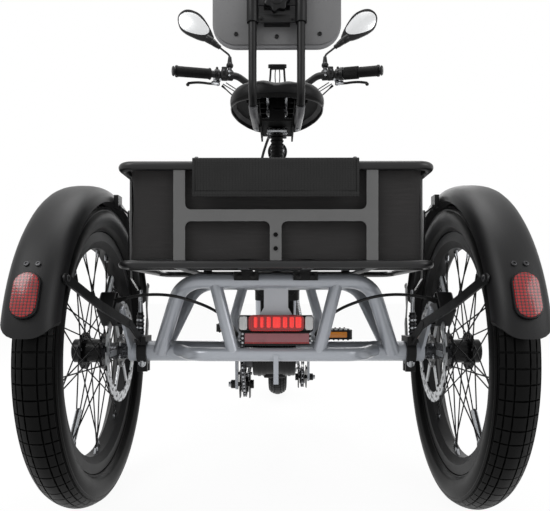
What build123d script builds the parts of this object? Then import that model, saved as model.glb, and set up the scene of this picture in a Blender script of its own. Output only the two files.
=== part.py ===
from build123d import *
import os
from math import asin, cos, degrees, pi, radians, sin, tan

# Electric cargo tricycle: one steered front wheel, two driven rear wheels and a rear basket.
# All sizes are in millimetres. X points right, Y forward and Z up.
# While it is drawn, Y is counted from the rear axle and Z from the ground; each part is moved
# at export so that the origin lies on the ground under the middle of the whole machine.

# ---------------------------------------------------------------- driving dimensions
WHEELBASE = 1150.0
REAR_TRACK = 656.0
SMALL_GAP = 0.3              # between pieces that are bolted up but not drawn touching

# wheels
TYRE_R = 267.0
TYRE_W = 67.0
TYRE_WALL = 5.0
BEAD_R = 203.0
RIM_HOLE_R = 184.0
RIM_W = 37.0
RIM_FLANGE = 9.0
SPOKES = 36
SPOKE_R = 1.15
ROTOR_R = 90.0
ROTOR_T = 2.0

# rear axle
AXLE_TUBE_R = 18.0
AXLE_TUBE_WALL = 4.0
AXLE_TUBE_END = 262.0
HALF_SHAFT_R = 8.5
SHAFT_CLEARANCE = 0.05
HALF_SHAFT_INNER = 170.0
REAR_ROTOR_X = 279.0
HUB_R = 21.0
HUB_INNER_X = 305.0
HUB_OUTER_X = 361.0

# mudguards
GUARD_R = 291.0
GUARD_HALF_W = 39.5
GUARD_WALL = 2.5
GUARD_SKIRT_R = 264.0
REAR_GUARD_TAIL_RISE = 41.0
REAR_GUARD_NOSE_RISE = 79.0

# rear subframe
HOOP_R = 12.5
HOOP_TOP_Z = 390.0
HOOP_REACH = 85.0
HOOP_HALF_TOP = 154.5
HOOP_HALF_FOOT = 205.0
HOOP_BEND = 50.0
BUMPER_R = 11.0
BUMPER_REACH = 90.0
STRUT_R = 10.5
RAIL_R = 13.0
RAIL_X = 79.0
RAIL_RISE = 20.0

# front frame
HEAD_ANGLE = 70.0
RAKE = 45.0
HEAD_TUBE_R = 22.0
HEAD_TUBE_BASE = 385.0
HEAD_TUBE_TOP = 565.0
SPINE_R = 25.0
SEAT_TUBE_R = 17.5
SEAT_TUBE_ANGLE = 73.0
SEAT_TUBE_TOP = 420.0
CRANK_Y = 620.0
CRANK_Z = 270.0
CRANK_LENGTH = 165.0
CRANK_SHELL_R = 21.0
CRANK_SHELL_HALF = 36.0

# drive train
CHAIN_W = 7.0
CHAIN_H = 8.0
CHAIN_GAP = 1.0
CHAIN_RIGHT_X = 59.0
CHAIN_LEFT_X = -58.0
CHAINRING_R = 85.0
JACKSHAFT_Y = 300.0
JACKSHAFT_Z = 262.0
JACKSHAFT_R = 8.0
MOTOR_LEFT = -41.0
MOTOR_RIGHT = 34.0
MOTOR_R = 44.0

# basket
BASKET_HALF_W = 236.5
BASKET_REAR = -190.0
BASKET_FRONT = 161.0
BASKET_FLOOR_Z = 405.0
BASKET_TOP_Z = 563.0
BASKET_RIM_R = 7.0
BASKET_SILL_R = 6.0
BASKET_CORNER = 20.0
BAR_W = 17.0
BAR_T = 3.0
LINER_HALF_W = 221.5
LINER_WALL = 3.0
LINER_CORNER = 20.0
FLAP_HALF_W = 121.5
FLAP_DROP = 55.0

# saddle and backrest
SADDLE_REAR = 330.0
SADDLE_NOSE = 651.0
SADDLE_HALF_W = 127.5
SADDLE_WAIST = 0.84  # half width 100 mm behind the nose, as a share
SADDLE_FRONT = 0.55  # half width 35 mm behind the nose, as a share
SADDLE_BASE_Z = 836.0
SADDLE_TOP_Z = 899.0
SADDLE_HOLLOW = 30.0
SEAT_POST_R = 13.6
BACKREST_Y = 280.0
BACKREST_HALF_W = 149.0
BACKREST_BASE_Z = 934.0
BACKREST_HEIGHT = 195.0
BACKREST_POST_X = 55.5
BACKREST_POST_R = 9.5

# cockpit
BAR_HALF_W = 333.0
BAR_R = 11.1
GRIP_R = 16.5
GRIP_LENGTH = 118.0
GRIP_Z = 1079.0
BAR_KNEE = (132.0, -13.0, 1095.0)  # from the stem clamp: across, forward; height from the ground
BAR_BEND = 36.0
GRIP_Y = 770.0

# towing tab
HITCH_HOLE_R = 6.5
HITCH_T = 8.0
HITCH_HOLE_Z = 234.0

# lights
LIGHT_Z = 319.5
LIGHT_HALF_W = 62.0
LIGHT_HALF_H = 14.0

# steering column and crank axle
STEERER_R = 14.3
CRANK_AXLE_R = 8.0

# front hub
FRONT_FLANGE_X = 24.0
FRONT_ROTOR_X = -36.0
FRONT_AXLE_R = 5.0

# sprockets and chain guides
REAR_COG_R = 48.0
LEFT_COG_R = 34.0
RIGHT_COG_R = 38.0
PULLEY_R = 20.0
LEFT_PULLEY = (42.0, 201.0)
RIGHT_PULLEY = (310.0, 178.0)
CAGE_T = 2.0
CAGE_HALF = 10.0
HANGER_X = 71.0
HANGER_T = 5.0
PULLEY_BOLT_R = 4.0

# pedals
PEDAL_AXLE_R = 5.0
PEDAL_INNER_X = 96.0
PEDAL_OUTER_X = 190.0

# battery
BATTERY_HALF_W = 58.0
BATTERY_DEPTH = 88.0
BATTERY_LENGTH = 300.0
BATTERY_START = 125.0

# basket panels
BASKET_MID_BAR_Z = 483.0
PANEL_HALF_W = 150.5
PANEL_SIDE_HALF_W = 105.0
BASKET_HOLES = (454.4, 434.1)
BASKET_HOLE_R = 2.7

# mudguard stays
STAY_X = 238.0
STAY_W = 17.0

# hoses and cables
HOSE_R = 2.5
LOOM_R = 4.5
LOOM_CLEARANCE = 0.3
CABLE_R = 2.2
# from the right rear caliper, round the back of the hoop leg, to the port in the rail
HOSE_ROUTE = [
    (262, -79, 358), (236, -82, 365), (198, -91, 368), (162, -105, 365), (130, -97, 355),
    (108, -68, 344), (95, -32, 332), (87, 6, 320), (83, 44, 310), (81, 78, 302), (79, 98, 290),
]
# from the junction on the stem, past the left of the head tube, to the port in the spine
LOOM_ROUTE = [
    (-14, 881, 946), (-25, 893, 916), (-40, 904, 880), (-53, 913, 840), (-58, 921, 797),
    (-54, 926, 753), (-46, 927, 709), (-39, 923, 668), (-34, 913, 631), (-28, 900, 602),
]
# from the right brake lever down to the junction on the stem
CABLE_ROUTE = [
    (182, 850, 1062), (160, 869, 1046), (126, 886, 1022), (88, 896, 998), (56, 894, 979),
    (33, 884, 969), (15, 873, 966),
]

# saddle carrier and backrest
CARRIER_Z = 800.0
CARRIER_T = 6.0
POST_FOOT_X = 52.0
POST_FOOT_Y = 425.0
BACK_SLEEVE_R = 13.5
CROSS_PLATES = (1001, 1040, 1100)
KNOB_Z = 1040.0
KNOB_R = 31.0

# fork and stem
FORK_X = 64.0
FORK_STANCHION_R = 14.0
FORK_LOWER_R = 18.0
CROWN_BASE = 338.0
CROWN_TOP = 372.0
STEM_BASE = HEAD_TUBE_TOP + 22
STEM_TOP = 800.0

# mirrors and display
MIRROR_FOOT_X = 156.0
MIRROR_ELBOW_Z = 1156.0
MIRROR_HALF_L = 62.0
MIRROR_HALF_W = 36.0
MIRROR_T = 12.0
DISPLAY_Z = 1132.0
DISPLAY_CLIP_X = 26.6
DISPLAY_CLIP_HALF = 2.4

# ---------------------------------------------------------------- places worked out from them
REAR_WHEEL_X = REAR_TRACK / 2
AXLE_Z = TYRE_R
TAIL_ANGLE = degrees(asin(REAR_GUARD_TAIL_RISE / GUARD_R))
NOSE_ANGLE = 180 - degrees(asin(REAR_GUARD_NOSE_RISE / GUARD_R))
REFLECTOR_ANGLE = 19.5
REFLECTOR_HALF_L = 31.0
REFLECTOR_T = 8.0
REAR_REACH = (
    (GUARD_R + REFLECTOR_T) * cos(radians(REFLECTOR_ANGLE))
    + REFLECTOR_HALF_L * sin(radians(REFLECTOR_ANGLE))
)
ORIGIN_Y = (WHEELBASE + TYRE_R - REAR_REACH) / 2

TILT = radians(90 - HEAD_ANGLE)
STEER_UP = Vector(0, -sin(TILT), cos(TILT))
STEER_FORE = Vector(0, cos(TILT), sin(TILT))
FRONT_AXLE = Vector(0, WHEELBASE, AXLE_Z)
STEER_FOOT = FRONT_AXLE - STEER_FORE * RAKE
SEAT_UP = Vector(0, -cos(radians(SEAT_TUBE_ANGLE)), sin(radians(SEAT_TUBE_ANGLE)))
SEAT_FORE = Vector(0, sin(radians(SEAT_TUBE_ANGLE)), cos(radians(SEAT_TUBE_ANGLE)))
CRANK_CENTRE = Vector(0, CRANK_Y, CRANK_Z)


def steer(side, fore, up):
    """A point counted from the foot of the steering axis, along the fork's own directions."""
    return STEER_FOOT + STEER_FORE * fore + STEER_UP * up + Vector(side, 0, 0)


def seat(side, fore, up):
    """A point counted from the crank centre, along the seat tube's own directions."""
    return CRANK_CENTRE + SEAT_FORE * fore + SEAT_UP * up + Vector(side, 0, 0)


STEER_PLANE = Plane(origin=STEER_FOOT, x_dir=(1, 0, 0), z_dir=STEER_UP)
SEAT_PLANE = Plane(origin=CRANK_CENTRE, x_dir=(1, 0, 0), z_dir=SEAT_UP)


# ---------------------------------------------------------------- shape helpers
def rod(start, end, radius):
    """A round bar between two points."""
    start, end = Vector(*start), Vector(*end)
    run = end - start
    plane = Plane(origin=start, z_dir=run)
    return plane * extrude(Circle(radius), run.length)


def pipe(points, radius, bend):
    """A round bar along straight runs joined by bends."""
    path = FilletPolyline(*[Vector(*p) for p in points], radius=bend)
    start = Plane(origin=path @ 0, z_dir=path % 0)
    return sweep(start * Circle(radius), path=path)


def cord_tube(name, points, radius):
    """A flexible tube along a route, each bend as wide as its two runs allow."""
    stops = [Vector(*p) for p in points]
    bends = []
    for a, b, c in zip(stops, stops[1:], stops[2:]):
        turn = radians((b - a).get_angle(c - b))
        bends.append(0.45 * min((b - a).length, (c - b).length) / tan(turn / 2))
    path = FilletPolyline(*stops, radius=bends)
    start = Plane(origin=path @ 0, z_dir=path % 0)
    tube = sweep(start * Circle(radius), path=path)
    print(name, "bends", [round(b) for b in bends], "length", round(path.length))
    return tube


def ring_bar(half_x, y_low, y_high, z, radius, corner):
    """A round bar bent into a closed rectangle that lies level."""
    width, depth = 2 * half_x, y_high - y_low
    outline = RectangleRounded(width, depth, corner).face().outer_wire()
    middle = Location((0, (y_low + y_high) / 2, z))
    path = outline.moved(middle)
    start = Plane(origin=path @ 0, z_dir=path % 0)
    return sweep(start * Circle(radius), path=path)


def block(low, high):
    """A box between two corners."""
    size = [b - a for a, b in zip(low, high)]
    middle = [(a + b) / 2 for a, b in zip(low, high)]
    return Pos(*middle) * Box(*size)


def strap(points, width, thickness):
    """A flat bar bent along straight runs, its wide face turned to the side."""
    made = None
    for a, b in zip(points, points[1:]):
        a, b = Vector(*a), Vector(*b)
        run = b - a
        across = Vector(1, 0, 0) - run * (run.X / run.dot(run))
        plane = Plane(origin=a, x_dir=across, z_dir=run)
        bar = plane * extrude(Rectangle(thickness, width), run.length)
        made = bar if made is None else made + bar
        elbow = Plane(origin=b, x_dir=run, z_dir=across)
        made += elbow * Pos(0, 0, -thickness / 2) * extrude(Circle(width / 2), thickness)
    return made


def drum(x_low, x_high, y, z, radius):
    """A round drum lying across the machine."""
    return rod((x_low, y, z), (x_high, y, z), radius)


def mirrored(shape):
    """The same shape on the other side."""
    return mirror(shape, about=Plane.YZ)


def both(shape):
    """A shape with its copy on the other side."""
    return Compound(children=[*solids_of(shape), *solids_of(mirrored(shape))])


def solids_of(shape):
    return list(shape.solids())


def turned(profile, angle=360):
    """A profile in the XZ plane, with Z as its radius, turned about the X axis."""
    return revolve(profile, Axis.X, angle)


def section(points):
    """A face in the XZ plane from corner points (x, radius)."""
    return Plane.XZ * make_face(Polyline(*points, close=True))


def flat_plate(points, x_low, x_high):
    """A plate that stands fore and aft, from corner points (y, z)."""
    outline = Plane.YZ * make_face(Polyline(*points, close=True))
    return Pos(x_low, 0, 0) * extrude(outline, x_high - x_low)


# ---------------------------------------------------------------- wheels
def tyre():
    """A hollow balloon tyre, centred on the origin and turning about X."""
    half, seat_x = TYRE_W / 2, RIM_W / 2 - 3.2
    shoulder = TYRE_R - 8
    belly = BEAD_R + 34
    neck = BEAD_R + RIM_FLANGE + 1.5
    right = [
        Line((seat_x - 1, BEAD_R), (seat_x, neck)),
        ThreePointArc((seat_x, neck), (half - 4.6, belly - 15), (half, belly)),
        ThreePointArc((half, belly), (half - 1.9, belly + 13), (half - 9.5, shoulder)),
    ]
    crown = ThreePointArc((half - 9.5, shoulder), (0, TYRE_R), (9.5 - half, shoulder))
    left = [mirror(edge, about=Plane.YZ) for edge in right]
    sole = Line((seat_x - 1, BEAD_R), (1 - seat_x, BEAD_R))
    outer = make_face([*right, crown, *left, sole])
    middle = (belly + TYRE_R - TYRE_WALL) / 2 - 6
    height = TYRE_R - TYRE_WALL - middle
    air = Pos(0, middle) * Ellipse(half - TYRE_WALL, height)
    air += Pos(0, BEAD_R + 10) * Rectangle(2 * (seat_x - 5), 30)
    return turned(Plane.XZ * (outer - air))


def rim():
    """A double-walled alloy rim about X."""
    half, floor = RIM_W / 2, BEAD_R - 5
    lip = BEAD_R + RIM_FLANGE
    inner = half - 2.8
    points = [
        (half, lip), (half, floor - 2), (10, RIM_HOLE_R), (-10, RIM_HOLE_R),
        (-half, floor - 2), (-half, lip), (-inner, lip), (-inner, BEAD_R),
        (inner, BEAD_R), (inner, lip),
    ]
    cavity = [(half - 5, floor - 2), (8.5, RIM_HOLE_R + 2.5),
              (-8.5, RIM_HOLE_R + 2.5), (5 - half, floor - 2)]
    return turned(section(points)) - turned(section(cavity))


def spokes(flange_xs, flange_r, rim_x):
    """Crossed spokes from two hub flanges to the rim."""
    per_side = SPOKES // 2
    twist = 2 * pi / SPOKES
    bars = []
    for side, flange_x in enumerate(flange_xs):
        for n in range(per_side):
            hole = (2 * n + side) * twist
            lean = 1 if n % 2 else -1
            reach = hole + lean * 5.2 * twist
            skew = 1.9 * lean
            pull = 3.0 if flange_x > rim_x else -3.0
            start = (flange_x + skew, flange_r * cos(hole), flange_r * sin(hole))
            end = (rim_x + pull, (RIM_HOLE_R + 1) * cos(reach), (RIM_HOLE_R + 1) * sin(reach))
            bars.append(rod(start, end, SPOKE_R))
    return bars


def rotor(x):
    """A drilled brake disc with six arms."""
    thick = ROTOR_T
    band = Circle(ROTOR_R) - Circle(ROTOR_R - 17)
    centre = Circle(29) - Circle(HALF_SHAFT_R + 6)
    arms = [Rot(0, 0, 60 * n) * Pos(50, 0) * Rectangle(50, 9) for n in range(6)]
    holes = [Rot(0, 0, 360 / 36 * n) * Pos(ROTOR_R - 5 - 6 * (n % 2), 0) * Circle(2.2)
             for n in range(36)]
    plate = band + centre
    for arm in arms:
        plate += arm
    for hole in holes:
        plate -= hole
    face = Plane(origin=(x - thick / 2, 0, 0), x_dir=(0, 1, 0), z_dir=(1, 0, 0))
    return face * extrude(plate, thick)


def rear_hub():
    """The right rear hub and its half shaft, about X, with X counted from the middle."""
    body = drum(HUB_INNER_X, HUB_OUTER_X, 0, 0, HUB_R)
    flange_in = drum(HUB_INNER_X, HUB_INNER_X + 5, 0, 0, 33)
    flange_out = drum(HUB_OUTER_X - 20, HUB_OUTER_X - 15, 0, 0, 33)
    sleeve = drum(AXLE_TUBE_END + 4, HUB_INNER_X, 0, 0, HALF_SHAFT_R + 6)
    shaft = drum(HALF_SHAFT_INNER, HUB_OUTER_X + 4, 0, 0, HALF_SHAFT_R)
    return body + flange_in + flange_out + sleeve + shaft


def rear_wheel():
    """The right rear wheel without its tyre."""
    wheel = rear_hub() + Pos(REAR_WHEEL_X, 0, 0) * rim()
    flanges = (HUB_INNER_X + 2.5, HUB_OUTER_X - 17.5)
    return wheel + spokes(flanges, 28.5, REAR_WHEEL_X)


def front_wheel():
    """The front wheel without its tyre, bored for its fixed axle."""
    wheel = drum(-FRONT_FLANGE_X - 4, FRONT_FLANGE_X + 14, 0, 0, 17)
    wheel += drum(-FRONT_FLANGE_X - 2.5, -FRONT_FLANGE_X + 2.5, 0, 0, 31)
    wheel += drum(FRONT_FLANGE_X - 2.5, FRONT_FLANGE_X + 2.5, 0, 0, 31)
    wheel += drum(FRONT_ROTOR_X - 2, -FRONT_FLANGE_X, 0, 0, HALF_SHAFT_R + 6)
    wheel += rim()
    wheel += spokes((-FRONT_FLANGE_X, FRONT_FLANGE_X), 26.5, 0)
    return wheel - drum(-60, 60, 0, 0, FRONT_AXLE_R + SHAFT_CLEARANCE)


# ---------------------------------------------------------------- mudguards
def guard(first, last):
    """An arched mudguard about X, from one angle to another, counted up from the tail."""
    def arch(half, crown, foot):
        knee = crown - 13
        return make_face([
            Line((half, foot), (half, knee)),
            ThreePointArc((half, knee), (0, crown), (-half, knee)),
            Line((-half, knee), (-half, foot)),
            Line((-half, foot), (half, foot)),
        ])

    outer = arch(GUARD_HALF_W, GUARD_R, GUARD_SKIRT_R)
    inner = arch(GUARD_HALF_W - GUARD_WALL, GUARD_R - GUARD_WALL, GUARD_SKIRT_R - 1)
    strip = Plane.XZ * (outer - inner)
    return revolve(strip, Axis.X, last - first)


def guard_placed(x, y, first, last):
    """A mudguard over the wheel at x, y; angle 0 points aft and 90 straight up."""
    return Pos(x, y, AXLE_Z) * Rot(90 - last, 0, 0) * guard(first, last)


# ---------------------------------------------------------------- rear frame
def axle_tube():
    """The tube across the rear, with a dropout plate and caliper ear at each end."""
    end, bore = AXLE_TUBE_END, AXLE_TUBE_R - AXLE_TUBE_WALL
    right = rod((MOTOR_RIGHT, 0, AXLE_Z), (end, 0, AXLE_Z), AXLE_TUBE_R)
    left = rod((MOTOR_LEFT, 0, AXLE_Z), (-end, 0, AXLE_Z), AXLE_TUBE_R)
    bush_r = HALF_SHAFT_R + SHAFT_CLEARANCE
    made = []
    for side, tube in ((1, right), (-1, left)):
        tube -= rod((side * 60, 0, AXLE_Z), (side * (end - 18), 0, AXLE_Z), bore)
        tube -= rod((side * 150, 0, AXLE_Z), (side * (end + 1), 0, AXLE_Z), bush_r)
        ear = [(-18, 264), (-70, 318), (-66, 330), (-52, 332), (22, 283), (18, 264)]
        low, high = sorted((side * (end - 8), side * (end - 3)))
        plate = flat_plate(ear, low, high) - drum(low - 1, high + 1, 0, AXLE_Z, AXLE_TUBE_R - 1)
        made.append(tube + plate)
    return Compound(children=[s for shape in made for s in solids_of(shape)])


def hoop(sign):
    """One basket hoop, bent from a single tube; sign -1 is the rear one, 1 the front."""
    foot_y = sign * (AXLE_TUBE_R + HOOP_R) * 0.55
    top_y = sign * HOOP_REACH
    points = [
        (-HOOP_HALF_FOOT, foot_y, AXLE_Z), (-HOOP_HALF_TOP, top_y, HOOP_TOP_Z),
        (HOOP_HALF_TOP, top_y, HOOP_TOP_Z), (HOOP_HALF_FOOT, foot_y, AXLE_Z),
    ]
    return pipe(points, HOOP_R, HOOP_BEND) - axle_core()


def axle_core():
    return rod((-AXLE_TUBE_END, 0, AXLE_Z), (AXLE_TUBE_END, 0, AXLE_Z), AXLE_TUBE_R)


def bumper():
    """The low loop behind the axle, with the towing tab under its middle."""
    z, back = AXLE_Z + 2, -BUMPER_REACH
    points = [(-176, -4, z), (-138, back, z), (138, back, z), (176, -4, z)]
    loop = pipe(points, BUMPER_R, 42) - axle_core()
    tab = block((-HITCH_T / 2, back - 13, 222), (HITCH_T / 2, back + 13, z))
    tab -= drum(-HITCH_T, HITCH_T, back, HITCH_HOLE_Z, HITCH_HOLE_R)
    return loop + tab


def struts():
    """Four slanted braces from the hoops down to the bumper and the rails."""
    made = []
    for side in (-1, 1):
        near = rod((side * 69, -BUMPER_REACH, AXLE_Z + 2), (side * 101, -HOOP_REACH, HOOP_TOP_Z),
                   STRUT_R)
        far = pipe([(side * RAIL_X, 128, AXLE_Z + RAIL_RISE * 128 / 330), (side * 84, 112, 322),
                    (side * 63, HOOP_REACH, HOOP_TOP_Z)], STRUT_R - 1, 45)
        made.append(near - bumper_core() - hoop(-1))
        made.append(far - rails() - hoop(1))
    return Compound(children=[s for shape in made for s in solids_of(shape)])


def bumper_core():
    z, back = AXLE_Z + 2, -BUMPER_REACH
    return rod((-138, back, z), (138, back, z), BUMPER_R)


def rails():
    """The two tubes that tie the rear axle to the crank shell."""
    made = None
    for side in (-1, 1):
        points = [
            (side * RAIL_X, 0, AXLE_Z), (side * RAIL_X, 330, AXLE_Z + RAIL_RISE),
            (side * 42, 470, AXLE_Z + RAIL_RISE - 4), (side * 16, CRANK_Y - 20, CRANK_Z + 10),
        ]
        rail = pipe(points, RAIL_R, 60) - axle_core()
        made = rail if made is None else made + rail
    return made


def head_tube():
    base, top = steer(0, 0, HEAD_TUBE_BASE), steer(0, 0, HEAD_TUBE_TOP)
    return rod(base, top, HEAD_TUBE_R)


def main_frame():
    """Head tube, low spine, crank shell, seat tube and rails, welded as one."""
    shell = drum(-CRANK_SHELL_HALF, CRANK_SHELL_HALF, CRANK_Y, CRANK_Z, CRANK_SHELL_R)
    spine = pipe(
        [
            steer(0, 0, HEAD_TUBE_BASE + 64),
            steer(0, -74, HEAD_TUBE_BASE + 8),
            (0, 770, 392),
            (0, CRANK_Y, CRANK_Z + 22),
        ],
        SPINE_R, 80,
    )
    seat_tube = rod(seat(0, 0, 8), seat(0, 0, SEAT_TUBE_TOP), SEAT_TUBE_R)
    collar = rod(seat(0, 0, SEAT_TUBE_TOP - 30), seat(0, 0, SEAT_TUBE_TOP), SEAT_TUBE_R + 4)
    brace = rod(seat(0, 0, 190), (0, 800, 440), 14)
    frame = shell + spine + seat_tube + collar + brace + head_tube() + rails()
    for side, (y, z), top in ((-1, LEFT_PULLEY, AXLE_Z), (1, RIGHT_PULLEY, AXLE_Z + RAIL_RISE)):
        low, high = sorted((side * HANGER_X, side * (HANGER_X + HANGER_T)))
        frame += flat_plate([(y - 18, top), (y + 18, top), (y + 10, z), (y - 10, z)], low, high)
        frame += drum(low, high, y, z, 10)
        frame -= drum(low - 1, high + 1, y, z, PULLEY_BOLT_R + SHAFT_CLEARANCE)
    for low, high in ((HEAD_TUBE_BASE - 9, HEAD_TUBE_BASE + 1), (HEAD_TUBE_TOP - 1, HEAD_TUBE_TOP + 9)):
        frame += rod(steer(0, 0, low), steer(0, 0, high), HEAD_TUBE_R + 2)
    frame -= rod(steer(0, 0, HEAD_TUBE_BASE + 12), steer(0, 0, HEAD_TUBE_TOP - 12), STEERER_R + 2.5)
    frame -= rod(steer(0, 0, 200), steer(0, 0, 900), STEERER_R + SHAFT_CLEARANCE)
    frame += port(HOSE_ROUTE, 5, 14) + mirrored(port(HOSE_ROUTE, 5, 14))
    frame += port(LOOM_ROUTE, 7, 14)
    frame -= rod(LOOM_ROUTE[-1], LOOM_ROUTE[-2], LOOM_R + LOOM_CLEARANCE)
    frame -= rod(seat(0, 0, 120), seat(0, 0, SEAT_TUBE_TOP + 5), SEAT_POST_R + SHAFT_CLEARANCE)
    frame -= drum(-80, 80, CRANK_Y, CRANK_Z, CRANK_AXLE_R + SHAFT_CLEARANCE)
    frame -= drum(-90, 90, JACKSHAFT_Y, JACKSHAFT_Z, JACKSHAFT_R)
    return frame


def light_bracket():
    """The centre plate that hangs from the rear hoop and carries the lights."""
    top = block((-20, -82, HOOP_TOP_Z - 46), (20, -78, HOOP_TOP_Z - 4)) - hoop(-1)
    flare = Plane.XZ * make_face(Polyline(
        (-20, HOOP_TOP_Z - 40), (20, HOOP_TOP_Z - 40), (20, 346), (28, 332), (28, 283),
        (-28, 283), (-28, 332), (-20, 346), close=True))
    plate = Pos(0, -78, 0) * extrude(flare, 4)
    return plate + top


def tail_light():
    """A wide tail lamp in front of the bracket's lower half."""
    low = (-LIGHT_HALF_W, -104, LIGHT_Z - LIGHT_HALF_H)
    high = (LIGHT_HALF_W, -82, LIGHT_Z + LIGHT_HALF_H)
    body = block(low, high)
    return fillet(body.edges().filter_by(Axis.Y), 6)


def tail_reflector():
    """A red reflector bar on its own foot under the lamp."""
    body = block((-57, -96, 285.5), (57, -86, 302.5))
    foot = block((-12, -86, 288), (12, -82, 300))
    return fillet(body.edges().filter_by(Axis.Y), 4) + foot


def motor():
    """The motor and differential housing in the middle of the rear axle."""
    body = drum(MOTOR_LEFT, MOTOR_RIGHT, 0, AXLE_Z, MOTOR_R)
    return fillet(body.edges().filter_by(GeomType.CIRCLE), 3)


# ---------------------------------------------------------------- drive train
def chain_loop(x, circles):
    """A chain as one closed band round a set of circles (y, z, radius)."""
    def outline(grow):
        edges = [Pos(y, z) * Circle(r + grow) for y, z, r in circles]
        return make_hull([edge for face in edges for edge in face.edges()])
    band = outline(CHAIN_H / 2) - outline(-CHAIN_H / 2)
    face = Plane(origin=(x - CHAIN_W / 2, 0, 0), x_dir=(0, 1, 0), z_dir=(1, 0, 0))
    return face * extrude(band, CHAIN_W)


def chain_left():
    """The chain from the jackshaft back to the rear axle."""
    return chain_loop(CHAIN_LEFT_X, [
        (0, AXLE_Z, REAR_COG_R), (JACKSHAFT_Y, JACKSHAFT_Z, LEFT_COG_R),
        (*LEFT_PULLEY, PULLEY_R),
    ])


def chain_right():
    """The chain from the crank back to the jackshaft, taken down by its tensioner."""
    return chain_loop(CHAIN_RIGHT_X, [
        (CRANK_Y, CRANK_Z, CHAINRING_R), (JACKSHAFT_Y, JACKSHAFT_Z, RIGHT_COG_R),
        (*RIGHT_PULLEY, PULLEY_R),
    ])


def cog(x, y, z, radius, hub_r):
    """A thin plain disc for a sprocket, just inside its chain."""
    disc = Circle(radius - CHAIN_H / 2 - CHAIN_GAP) - Circle(hub_r)
    face = Plane(origin=(x - 1.5, y, z), x_dir=(0, 1, 0), z_dir=(1, 0, 0))
    return face * extrude(disc, 3)


def jackshaft():
    """The cross shaft under the basket's front edge, with its cogs and two hangers."""
    shaft = drum(-RAIL_X - 6, RAIL_X + 6, JACKSHAFT_Y, JACKSHAFT_Z, JACKSHAFT_R)
    body = drum(-50, 44, JACKSHAFT_Y, JACKSHAFT_Z, 16)
    made = shaft + body
    made += cog(CHAIN_LEFT_X, JACKSHAFT_Y, JACKSHAFT_Z, LEFT_COG_R, 7)
    made += cog(CHAIN_RIGHT_X, JACKSHAFT_Y, JACKSHAFT_Z, RIGHT_COG_R, 7)
    for side in (-1, 1):
        low, high = sorted((side * (RAIL_X - 3), side * (RAIL_X + 3)))
        outline = [(-12, -14), (12, -14), (22, 22), (-22, 22)]
        points = [(JACKSHAFT_Y + y, JACKSHAFT_Z + z) for y, z in outline]
        made += flat_plate(points, low, high)
    return made - rails()


def rear_cog():
    """The driven sprocket on the left of the motor housing."""
    disc = cog(CHAIN_LEFT_X, 0, AXLE_Z, REAR_COG_R, AXLE_TUBE_R)
    boss = drum(CHAIN_LEFT_X + 1.5, MOTOR_LEFT, 0, AXLE_Z, 30)
    return disc + boss - axle_core()


def tensioners():
    """A guide pulley in a two-sided cage under each chain, bolted to its hanger."""
    made = []
    for x, (y, z) in ((CHAIN_RIGHT_X, RIGHT_PULLEY), (CHAIN_LEFT_X, LEFT_PULLEY)):
        side = 1 if x > 0 else -1
        cage = drum(x - 6, x + 6, y, z, PULLEY_R - CHAIN_H / 2 - CHAIN_GAP)
        for face in (x - CAGE_HALF, x + CAGE_HALF - CAGE_T):
            outline = [(y - 15, z + 26), (y + 15, z + 26), (y + 21, z - 8), (y + 12, z - 24),
                       (y - 12, z - 24), (y - 21, z - 8)]
            cage += flat_plate(outline, face, face + CAGE_T)
        cage += drum(*sorted((x - side * CAGE_HALF, side * (HANGER_X + HANGER_T + 9))), y, z,
                     PULLEY_BOLT_R)
        cage += drum(*sorted((side * (HANGER_X + HANGER_T), side * (HANGER_X + HANGER_T + 8))),
                     y, z, 8)
        cage += drum(*sorted((x - side * CAGE_HALF, x - side * (CAGE_HALF + 6))), y, z, 8)
        made.append(cage)
    return Compound(children=[s for shape in made for s in solids_of(shape)])


def crankset():
    """Crank axle, chainring, spider and two arms."""
    axle = drum(-74, 74, CRANK_Y, CRANK_Z, CRANK_AXLE_R)
    ring = cog(CHAIN_RIGHT_X, CRANK_Y, CRANK_Z, CHAINRING_R, CHAINRING_R - 20)
    made = axle + ring
    for n in range(5):
        arm = Pos(CHAIN_RIGHT_X, CRANK_Y, CRANK_Z) * Rot(72 * n + 36, 0, 0) * Pos(0, 0, 38)
        made += arm * Box(4, 15, 66)
    made += drum(CHAIN_RIGHT_X - 2, 70, CRANK_Y, CRANK_Z, 20)
    for side in (-1, 1):
        tip = CRANK_Y + -side * CRANK_LENGTH
        low, high = sorted((side * 71, side * 85))
        near, far = sorted((CRANK_Y, tip))
        arm = block((low, near, CRANK_Z - 11), (high, far, CRANK_Z + 11))
        boss = drum(*sorted((side * 66, side * 90)), CRANK_Y, CRANK_Z, 17)
        eye = drum(*sorted((side * 70, side * 86)), tip, CRANK_Z, 14)
        made += arm + boss + eye
        made -= drum(*sorted((side * 60, side * 95)), tip, CRANK_Z, PEDAL_AXLE_R + SHAFT_CLEARANCE)
    return made


def pedal(side):
    """A platform pedal with its own axle, level at rest."""
    y = CRANK_Y - side * CRANK_LENGTH
    low, high = sorted((side * PEDAL_INNER_X, side * PEDAL_OUTER_X))
    body = block((low, y - 46, CRANK_Z - 12), (high, y + 46, CRANK_Z + 12))
    body = fillet(body.edges().filter_by(Axis.Z), 10)
    windows = block((low + 14, y + 14, CRANK_Z - 20), (high - 14, y + 34, CRANK_Z + 20))
    windows += block((low + 14, y - 34, CRANK_Z - 20), (high - 14, y - 14, CRANK_Z + 20))
    axle = drum(*sorted((side * 70, side * PEDAL_OUTER_X)), y, CRANK_Z, PEDAL_AXLE_R)
    return body - windows + axle


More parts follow.
